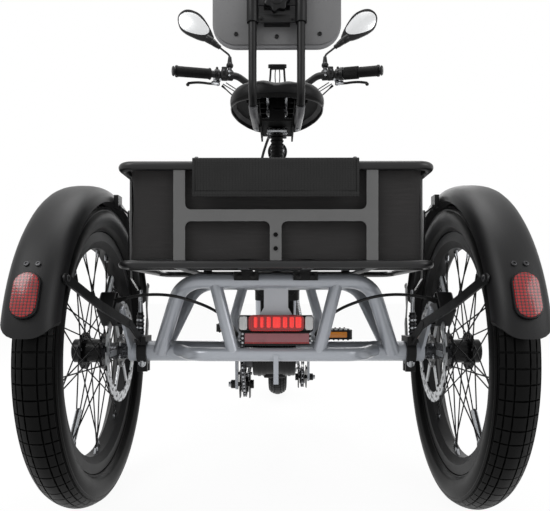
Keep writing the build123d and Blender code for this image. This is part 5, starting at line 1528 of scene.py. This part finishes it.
class TRICYCLE_OT_headlight(bpy.types.Operator):
    """Builds the round headlight with its clear lens and hood"""
    bl_idname = "tricycle.headlight"
    bl_label = "Headlight"

    def execute(self, context):
        piece = Piece("headlight_unit", "steering")
        spot = steer(0, 44, 640)
        shell = [(0, -2), (14, -1), (26, 4), (31, 14), (32, 30), (32, 50), (30.4, 51.5), (28.4, 50),
                 (27.6, 44), (14, 30), (7, 26), (0, 25)]
        piece.take(spun(shell, spot, (0, 1, 0), 48), smooth_black())
        piece.take(spun([(27.4, 43.5), (12, 29), (6, 26.5), (6.5, 27.5), (13, 31), (27.8, 46),
                         (27.4, 43.5)], spot, (0, 1, 0), 48), bright_steel())
        piece.take(spun([(0, 51), (14, 50.2), (24, 48.6), (28, 47), (28, 45.2), (14, 48.2),
                         (0, 49)],
                        spot, (0, 1, 0), 40), clear_plastic("Clear plastic"))
        for side in (-1, 1):
            arm = plate([(-8, -9), (26, -7), (34, 0), (26, 7), (-8, 9)],
                        lay(steer(side * 15, 16, 640), (side, 0, 0), (0, 1, 0)), 3, 0.5)
            piece.take(arm, black_lacquer())
            piece.take(hex_bolt(steer(side * 18, 38, 640), (side, 0, 0), 7, 4), bright_steel())
        piece.take(rod(steer(0, 14, 640), spot + Vector((0, 0.01, 0)), 8, sides=20), smooth_black())
        for n in range(5):
            fin = spun([(31.6, 8 + 4.4 * n), (33.4, 8.6 + 4.4 * n), (33.4, 10.2 + 4.4 * n),
                        (31.6, 10.8 + 4.4 * n), (31.6, 8 + 4.4 * n)], spot, (0, 1, 0), 40)
            piece.take(fin, smooth_black())
        piece.done("headlight", slot="plastic_black")
        return {"FINISHED"}


# ---------------------------------------------------------------- drive
LEFT_LOOP = ((0, 267, 48), (300, 262, 34), (42, 201, 20))
RIGHT_LOOP = ((620, 270, 85), (300, 262, 38), (310, 178, 20))


def belt(circles):
    """The outline of a belt stretched round circles (y, z, radius), as a closed list."""
    points = sorted({(round(y + r * cos(tau * n / 180), 4), round(z + r * sin(tau * n / 180), 4))
                     for y, z, r in circles for n in range(180)})

    def bow(line):
        kept = []
        for p in line:
            while len(kept) > 1 and ((kept[-1][0] - kept[-2][0]) * (p[1] - kept[-2][1])
                                     <= (kept[-1][1] - kept[-2][1]) * (p[0] - kept[-2][0])):
                kept.pop()
            kept.append(p)
        return kept[:-1]
    return bow(points) + bow(points[::-1])


def spaced(outline, pitch):
    """Even steps round a closed outline, as near the pitch as divides it."""
    ends = list(zip(outline, outline[1:] + outline[:1]))
    lengths = [hypot(b[0] - a[0], b[1] - a[1]) for a, b in ends]
    count = 2 * round(sum(lengths) / pitch / 2)
    step, want, run, found = sum(lengths) / count, 0.0, 0.0, []
    for (a, b), length in zip(ends, lengths):
        while want <= run + length and len(found) < count:
            share = (want - run) / length if length else 0
            found.append(Vector((0, a[0] + (b[0] - a[0]) * share, a[1] + (b[1] - a[1]) * share)))
            want += step
        run += length
    return found


def cog_plate(radius, height, root):
    """The toothed outline of a sprocket about its pitch radius."""
    teeth = round(tau * radius / 12.7)
    points = []
    for n in range(teeth):
        for share, reach in ((0.0, root), (0.22, root), (0.36, height * 0.55), (0.44, height),
                             (0.56, height), (0.64, height * 0.55), (0.78, root)):
            turn = tau * (n + share) / teeth
            points.append(((radius + reach) * cos(turn), (radius + reach) * sin(turn)))
    return points


class TRICYCLE_OT_chains(bpy.types.Operator):
    """Links both chains pin by pin and cuts the teeth of their sprockets"""
    bl_idname = "tricycle.chains"
    bl_label = "Chains"

    def execute(self, context):
        piece = Piece("chain_links", "frame")
        for x, loop in ((-58, LEFT_LOOP), (59, RIGHT_LOOP)):
            pins = spaced(belt(loop), sizes().chain_pitch / MM)
            for n, (a, b) in enumerate(zip(pins, pins[1:] + pins[:1])):
                self.link(piece, x, a, b, n % 2)
        piece.done("chains", slot="cog_steel", sharp=50)

        cogs = Piece("frame_cogs", "frame")
        crank = Piece("chainring_teeth", "crank")
        for x, loop in ((-58, LEFT_LOOP), (59, RIGHT_LOOP)):
            for y, z, r in loop:
                ring = r == 85
                teeth = cog_plate(r, -3.4 if ring else 3.4, -6.2 if ring else -3.4)
                made = plate(teeth, lay(at(x - 1.2, y, z), (1, 0, 0), (0, 1, 0)), 2.4, 0.3)
                rims = [f for f in made.faces if abs(f.normal.x) > 0.9]
                bmesh.ops.inset_region(made, faces=rims, thickness=5.5 * MM)
                wide = sorted(made.faces, key=lambda f: -f.calc_area())[:2]
                edges = [e for f in wide for e in f.edges]
                bmesh.ops.delete(made, geom=wide, context="FACES_ONLY")
                bmesh.ops.bridge_loops(made, edges=[e for e in edges if e.is_valid])
                (crank if ring else cogs).take(close_up(made), dark_steel())
        for x, (y, z, r) in ((-58, LEFT_LOOP[2]), (59, RIGHT_LOOP[2])):
            side = 1 if x > 0 else -1
            for face in (x - 10.4, x + 10.4):
                way = 1 if face > x else -1
                cogs.take(hex_bolt(at(face, y, z + 20), (way, 0, 0), 5, 2.6, False), bright_steel())
            cogs.take(hex_bolt(at(side * 84, y, z), (side, 0, 0), 9, 5), bright_steel())
        cogs.done(slot="cog_steel")
        crank.done(slot="cog_steel")
        return {"FINISHED"}

    def link(self, piece, x, a, b, outer):
        """One pair of waisted plates and the roller on their first pin."""
        along = b - a
        place = lay(at(0, *a.yz), (1, 0, 0), along)
        length, r, waist = along.length, 3.7, 2.5
        half = [(-r * 0.5, -r * 0.87), (r * 0.5, -r * 0.87), (length / 2, -waist),
                (length - r * 0.5, -r * 0.87), (length + r * 0.5, -r * 0.87), (length + r, 0)]
        outline = half + [(px, -py) for px, py in reversed(half[:-1])] + [(-r, 0)]
        gap = 2.9 if outer else 1.9
        for low in (-gap - 0.5, gap - 0.5):
            shift = Matrix.Translation(((x + low) * MM, 0, 0))
            piece.take(plate(outline, shift @ place, 1.0), dark_steel())
        spot = at(x, a.y, a.z)
        ends = Vector((3.5 if outer else 2.0, 0, 0)) * MM
        piece.take(rod(spot - ends, spot + ends, 2.2 if outer else 3.4, sides=8), bright_steel())


class TRICYCLE_OT_pedals(bpy.types.Operator):
    """Adds the pedals' treads and reflectors and the caps of the cranks"""
    bl_idname = "tricycle.pedals"
    bl_label = "Pedals and cranks"

    def execute(self, context):
        for side, end in ((1, "right"), (-1, "left")):
            y, z = 620 - side * 165, 270
            piece = Piece(f"pedal_fittings_{end}", f"pedal_{end}")
            low, high = sorted((side * 100, side * 186))
            for edge in (-1, 1):
                face = y + edge * 46
                span = sorted((face - edge * 3, face + edge * 1.6))
                piece.take(box((low + 10, span[0], z - 7), (high - 10, span[1], z + 7), 1.0, 2,
                               (0, 1, 0)), amber_reflector())
                for n in range(7):
                    x = side * (107 + 12 * n)
                    for top in (-1, 1):
                        a, b = sorted((z + top * 12, z + top * 14.4))
                        near, far = sorted((y + edge * 36, y + edge * 44))
                        piece.take(box((x - 2, near, a), (x + 2, far, b), 0.5), black_rubber())
            piece.take(spun([(0, 2.6), (6, 2.2), (8.6, 0.4), (8.6, -3), (0, -3)],
                            at(side * 190, y, z), (side, 0, 0), 24), smooth_black())
            piece.done(slot="plastic_black")
        caps = Piece("crank_caps", "crank")
        for side in (-1, 1):
            caps.take(spun([(0, 1.4), (6, 1.2), (9, 0.2), (10.5, -1.5), (0, -1.5)],
                           at(side * 90, 620, 270), (side, 0, 0), 28), smooth_black())
            caps.take(socket_screw(at(side * 91, 620, 270), (side, 0, 0), 5.2, 1.6), bright_steel())
        for n in range(5):
            turn = tau * n / 5 + pi / 5
            spot = at(61, 620 + 52 * sin(turn), 270 + 52 * cos(turn))
            caps.take(socket_screw(spot, (1, 0, 0), 4.4, 2.6, 14), bright_steel())
        caps.done(slot="cog_steel")
        return {"FINISHED"}


class TRICYCLE_OT_motor_and_battery(bpy.types.Operator):
    """Adds the motor's cooling ribs and bolts and the battery's grip, lock and seams"""
    bl_idname = "tricycle.motor_and_battery"
    bl_label = "Motor and battery"

    def execute(self, context):
        piece = Piece("motor_details", "frame")
        axle = at(0, 0, AXLE_Z)
        for x in (-30, -21, 14, 23):
            rib = [(43, x - 3), (45.2, x - 2.4), (45.2, x + 2.4), (43, x + 3), (43, x - 3)]
            piece.take(spun(rib, axle, (1, 0, 0), 48), smooth_black())
        for n in range(6):
            turn = tau * n / 6 + 0.5
            spot = at(34, 34 * cos(turn), AXLE_Z + 34 * sin(turn))
            piece.take(socket_screw(spot, (1, 0, 0), 3.6, 2.6, 14), bright_steel())
        piece.take(box((-22, -14, 220), (16, 16, 226), 1.5, 4), smooth_black())
        piece.take(box((-60, 190, 228), (-30, 246, 236), 1.2, 6), smooth_black())
        piece.done(slot="motor_black")

        box_piece = Piece("battery_details", "frame")
        up = (seat(0, 0, 1) - seat(0, 0, 0)).normalized()
        aft = (seat(0, -1, 0) - seat(0, 0, 0)).normalized()
        back = seat(0, -117.5, 275)
        box_piece.take(slab(96, 268, 2.4, lay(back, aft, (1, 0, 0)), 10, 0.9), smooth_black())
        for lift in (152, 400):
            band = slab(118.4, 90.4, 3, lay(seat(0, -73.5, lift), up, (1, 0, 0)), 12.6, 0.8)
            box_piece.take(band, smooth_black())
        # The block at the battery's foot is shadow black, the near-black that paints shade.
        box_piece.take(slab(88, 78, 54, lay(seat(0, -79, 99), up, (1, 0, 0)), 10, 2),
                       shadow_black())
        grip = [seat(-30, -66, 424), seat(-29, -66, 440), seat(0, -66, 446), seat(29, -66, 440),
                seat(30, -66, 424)]
        box_piece.take(swept(grip, 5, 14), moulded_black())
        lock = seat(58, -90, 330)
        box_piece.take(rod(lock, lock + Vector((0.004, 0, 0)), 8, sides=24, bevel=0.8),
                       bright_steel())
        port = seat(-58, -90, 250)
        box_piece.take(rod(port, port - Vector((0.004, 0, 0)), 9, sides=24, bevel=0.8),
                       black_rubber())
        box_piece.done(slot="plastic_black")
        return {"FINISHED"}


class TRICYCLE_OT_frame_fittings(bpy.types.Operator):
    """Adds the stays' rods and bolts, the calipers' bolts, the gussets and the fork's seals"""
    bl_idname = "tricycle.frame_fittings"
    bl_label = "Frame fittings"

    def execute(self, context):
        stays = Piece("stay_fittings", "frame")
        stays.pair(rod(at(244, 0, 334), at(244, 0, 376), 3.5, sides=16), bright_steel())
        for n in range(6):
            low = 292 + 7 * n
            stays.pair(rod(at(244, 0, low), at(244, 0, low + 4.4), 6.8, sides=18, bevel=0.8),
                       dark_steel() if n % 2 else bright_steel())
        for sign in (-1, 1):
            stays.pair(hex_bolt(at(238, sign * 12, 246), (0, sign, 0), 9, 5), bright_steel())
            spot = at(286.5, sign * 240, 388.5)
            stays.pair(socket_screw(spot, (-1, 0, 0), 5, 3), steel_screw())
            stays.pair(hex_bolt(at(246.4, sign * 18, 286), (1, 0, 0), 7, 3.4), dark_steel())
        stays.pair(socket_screw(at(281, 0, 524), (-1, 0, 0), 5, 3), steel_screw())
        stays.done(slot="black_steel")

        gussets = Piece("caliper_gussets", "frame")
        outline = [(-14, 268), (-30, 290), (-58, 318), (-74, 330), (-78, 342), (-68, 348),
                   (-52, 338),
                   (-30, 324), (-6, 302), (10, 284), (8, 262)]
        place = Matrix.Translation(Vector((255, 0, 0)) * MM) @ Matrix(
            ((0, 0, 1, 0), (1, 0, 0, -REAR_AXLE_BACK * MM), (0, 1, 0, 0), (0, 0, 0, 1)))
        gussets.pair(plate(outline, place, 6, 0.8), silver_lacquer())
        gussets.done(slot="frame_silver")

        brakes = Piece("caliper_fittings", "frame")
        for y, z in ((-74, 357), (-56, 334)):
            brakes.pair(socket_screw(at(264, y, z), (-1, 0, 0), 4.4, 4), bright_steel())
            brakes.pair(socket_screw(at(294, y, z), (1, 0, 0), 4.4, 3), bright_steel())
        brakes.pair(rod(at(294, -64, 345), at(298, -64, 345), 11, sides=28, bevel=1),
                    bright_steel())
        brakes.done(slot="black_steel")

        fork = Piece("fork_fittings", "steering")
        up = (steer(0, 0, 1) - steer(0, 0, 0)).normalized()
        for x in (-64, 64):
            for low, high, r, bevel in ((213, 219, 19.6, 1.4), (371, 379, 16.5, 2)):
                fork.take(rod(steer(x, 24, low), steer(x, 24, high), r, sides=32, bevel=bevel),
                          smooth_black())
            way = 1 if x > 0 else -1
            fork.take(hex_bolt(at(way * 76, WHEELBASE, AXLE_Z), (way, 0, 0), 15, 8), bright_steel())
            fork.take(spun([(14.2, 0), (14.6, 0), (14.6, 10), (14.2, 10), (14.2, 0)],
                           steer(x, 24, 222), up, 32), bright_steel())
        for low, high, r in ((384, 388, 24.5), (388, 392, 23), (562, 566, 23), (566, 572, 24.5)):
            fork.take(rod(steer(0, 0, low), steer(0, 0, high), r, sides=36, bevel=0.8),
                      smooth_black())
        fork.done(slot="black_steel")
        return {"FINISHED"}


# ---------------------------------------------------------------- cords
HOSE_ROUTE = [(262, -79, 358), (236, -82, 365), (198, -91, 368), (162, -105, 365), (130, -97, 355),
              (108, -68, 344), (95, -32, 332), (87, 6, 320), (83, 44, 310), (81, 78, 302),
              (79, 98, 290)]
CABLE_ROUTE = [(182, 850, 1062), (160, 869, 1046), (126, 886, 1022), (88, 896, 998), (56, 894, 979),
               (33, 884, 969), (15, 873, 966)]
LOOM_ROUTE = [(-14, 881, 946), (-25, 893, 916), (-40, 904, 880), (-53, 913, 840), (-58, 921, 797),
              (-54, 926, 753), (-46, 927, 709), (-39, 923, 668), (-34, 913, 631), (-28, 900, 602)]


def route_length(points):
    return sum((b - a).length for a, b in zip(points, points[1:]))


def smooth_route(points):
    """The smooth line that a cord follows through its route, as close-set points."""
    bm = drawn(route_curve("line", points))
    found = [vert.co.copy() for vert in bm.verts]
    bm.free()
    return found


@material_maker
def sleeve(n, shader):
    """The spiral wrap of the loom, turns drawn on the tube's height and breadth, shade painted
    between.
    """
    x, _, z = n.split(n.place())
    turns = n.math("MULTIPLY", z, tau / 0.0105)
    coil = n.math("SINE", n.math("MULTIPLY_ADD", x, 420.0, turns))
    tone = n.tone("#101011", "#232324", 30.0, 0.6)
    n.dress(shader, (0.6, 0.0012, coil), Specular_IOR_Level=0.3,
            # The groove between the turns is painted near-black: painted shade.
            Base_Color=n.mix(n.ramp(coil, -0.4, -0.95), tone["Colour"], tint("#050505")),
            Roughness=n.math("MULTIPLY_ADD", tone["Mask"], 0.1, 0.42))


class TRICYCLE_OT_cords(bpy.types.Operator):
    """Lays the brake hoses, the bar cables and the wiring loom, with their strain reliefs"""
    bl_idname = "tricycle.cords"
    bl_label = "Hoses and cables"

    def execute(self, context):
        for side, end in ((1, "right"), (-1, "left")):
            for name, route, size, body in (("brake_hose", HOSE_ROUTE, 5.0, "frame"),
                                            ("bar_cable", CABLE_ROUTE, 4.4, "steering")):
                points = [at(side * x, y, z) for x, y, z in route]
                self.curve_cord(f"{name}_line_{end}", points, size, body, f"{name}_{end}")
                self.reliefs(f"{name}_reliefs_{end}", points, size, body)
        self.loom()
        return {"FINISHED"}

    def curve_cord(self, name, points, size, body, node):
        curve = route_curve(name, points, size / 2, 4)
        curve.materials.append(cord_rubber())
        made = put(name, curve)
        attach(made, body)
        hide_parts(node)
        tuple(points[0])
        route_length(smooth_route(points))

    def reliefs(self, name, points, size, body):
        """A tapered, ringed sleeve at each end of a cord."""
        piece = Piece(name, body)
        for end, toward in ((points[0], points[1]), (points[-1], points[-2])):
            way = (toward - end).normalized()
            rings = [(0, 0), (size * 0.95, 0)]
            for n in range(5):
                reach = size * (0.95 - 0.08 * n)
                rings += [(reach, 1 + 3 * n), (reach, 2.2 + 3 * n), (reach * 0.86, 2.8 + 3 * n)]
            rings += [(size * 0.52, 17), (0, 17)]
            piece.take(spun(rings, end, way, 16), black_rubber())
        piece.done(slot="hose_rubber")

    def loom(self):
        points = [at(*p) for p in LOOM_ROUTE]
        line = smooth_route(points)
        piece = Piece("cable_loom_wrap", None)
        piece.take(swept(points, 4.5, 16), sleeve("Spiral wrap"))
        made = piece.done("cable_loom", slot="hose_rubber", sharp=60)
        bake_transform(made)
        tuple(points[0])
        route_length(line)
        for body, index, toward in (("steering", 0, 1), ("frame", -1, -2)):
            way = (points[toward] - points[index]).normalized()
            end = Piece(f"loom_relief_{body}", body)
            end.take(spun([(0, -1), (8, -1), (8, 3), (6.6, 4), (6.4, 8), (5.8, 8.6), (5.6, 12),
                           (4.9, 16),
                           (0, 16)], points[index], way, 20), black_rubber())
            end.done(slot="hose_rubber")


# ---------------------------------------------------------------- stage
LAMPS = (  # name, place in millimetres, size in metres, power in watts
    ("key", (-1900, -1700, 2600), 1.6, 46), ("fill", (2100, -1500, 1500), 1.6, 26),
    ("top", (0, 500, 3200), 2.2, 46), ("front", (400, 3000, 1800), 2.0, 26),
)
FLOOR_GLOW = 0.94  # how much of the floor that the camera sees is its own light
CAMERA_PLACE, CAMERA_TURN = (4.6, -1020, 360), 0.0067
LENS, LENS_SHIFT = 37.2, 0.079


class TRICYCLE_OT_stage(bpy.types.Operator):
    """Sets the pale floor, the soft lamps and the camera"""
    bl_idname = "tricycle.stage"
    bl_label = "Stage"

    def execute(self, context):
        self.floor()
        self.world()
        self.lamps()
        self.camera()
        context.scene.view_settings.view_transform = "Standard"
        return {"FINISHED"}

    def floor(self):
        bm = bmesh.new()
        bmesh.ops.create_grid(bm, x_segments=1, y_segments=1, size=40)
        mesh = bpy.data.meshes.new("floor")
        bm.to_mesh(mesh)
        bm.free()
        put("floor", mesh)
        material = bpy.data.materials.new("Pale floor")
        material.use_nodes = True
        n = Nodes(material.node_tree)
        matt = n.add("BsdfDiffuse", Color=tint("floor"))
        glow = n.add("Emission", Color=(1, 1, 1, 1), Strength=1.0)
        share = n.math("MULTIPLY", seen(n), FLOOR_GLOW)
        mixed = n.add("MixShader")
        n.feed(mixed.inputs[0], share)
        n.feed(mixed.inputs[1], matt.outputs[0])
        n.feed(mixed.inputs[2], glow.outputs[0])
        n.add("OutputMaterial", Surface=mixed.outputs[0])
        mesh.materials.append(material)

    def world(self):
        world = bpy.data.worlds.new("Studio")
        bpy.context.scene.world = world
        world.use_nodes = True
        n = Nodes(world.node_tree)
        strength = n.math("MULTIPLY_ADD", seen(n), 0.5, 0.5)
        sky = n.add("Background", Color=(1, 1, 1, 1), Strength=strength)
        n.add("OutputWorld", Surface=sky.outputs[0])

    def lamps(self):
        aim = at(0, 300, 500)
        for name, spot, size, power in LAMPS:
            lamp = bpy.data.lights.new(name, "AREA")
            lamp.size = size
            lamp.energy = power
            holder = put(name, lamp)
            holder.location = at(*spot)
            holder.rotation_euler = (aim - holder.location).to_track_quat("-Z", "Y").to_euler()

    def camera(self):
        lens = bpy.data.cameras.new("camera")
        lens.sensor_width = 36.0
        lens.lens = LENS
        lens.shift_y = LENS_SHIFT
        lens.clip_start = 0.05
        holder = put("camera", lens)
        holder.location = at(*CAMERA_PLACE)
        holder.rotation_euler = (pi / 2, 0, CAMERA_TURN)
        bpy.context.scene.camera = holder


OPERATORS = [
    TRICYCLE_OT_frame_finishes,
    TRICYCLE_OT_tyres,
    TRICYCLE_OT_wheel_fittings,
    TRICYCLE_OT_tail_lamp,
    TRICYCLE_OT_mudguards,
    TRICYCLE_OT_basket_bag,
    TRICYCLE_OT_saddle,
    TRICYCLE_OT_seat_boot,
    TRICYCLE_OT_backrest,
    TRICYCLE_OT_grips,
    TRICYCLE_OT_levers,
    TRICYCLE_OT_mirrors,
    TRICYCLE_OT_display,
    TRICYCLE_OT_headlight,
    TRICYCLE_OT_chains,
    TRICYCLE_OT_pedals,
    TRICYCLE_OT_motor_and_battery,
    TRICYCLE_OT_frame_fittings,
    TRICYCLE_OT_cords,
    TRICYCLE_OT_stage,
]


class TRICYCLE_PT_panel(bpy.types.Panel):
    """Lists the pieces of the tricycle"""
    bl_label = "Tricycle"
    bl_idname = "TRICYCLE_PT_panel"
    bl_space_type = "VIEW_3D"
    bl_region_type = "UI"
    bl_category = "Tricycle"

    def draw(self, context):
        for group in (context.scene.tricycle_colours, context.scene.tricycle_sizes):
            for name in group.bl_rna.properties.keys():
                if name not in ("rna_type", "name"):
                    self.layout.prop(group, name)
        for step in OPERATORS:
            self.layout.operator(step.bl_idname)


CLASSES = [TricycleColours, TricycleSizes, *OPERATORS, TRICYCLE_PT_panel]


def register():
    for made in CLASSES:
        bpy.utils.register_class(made)
    bpy.types.Scene.tricycle_colours = PointerProperty(type=TricycleColours)
    bpy.types.Scene.tricycle_sizes = PointerProperty(type=TricycleSizes)


def unregister():
    del bpy.types.Scene.tricycle_colours
    del bpy.types.Scene.tricycle_sizes
    for made in reversed(CLASSES):
        bpy.utils.unregister_class(made)


def main():
    register()
    for step in OPERATORS:
        getattr(bpy.ops.tricycle, step.bl_idname.split(".")[1])()


if __name__ == "__main__":
    main()
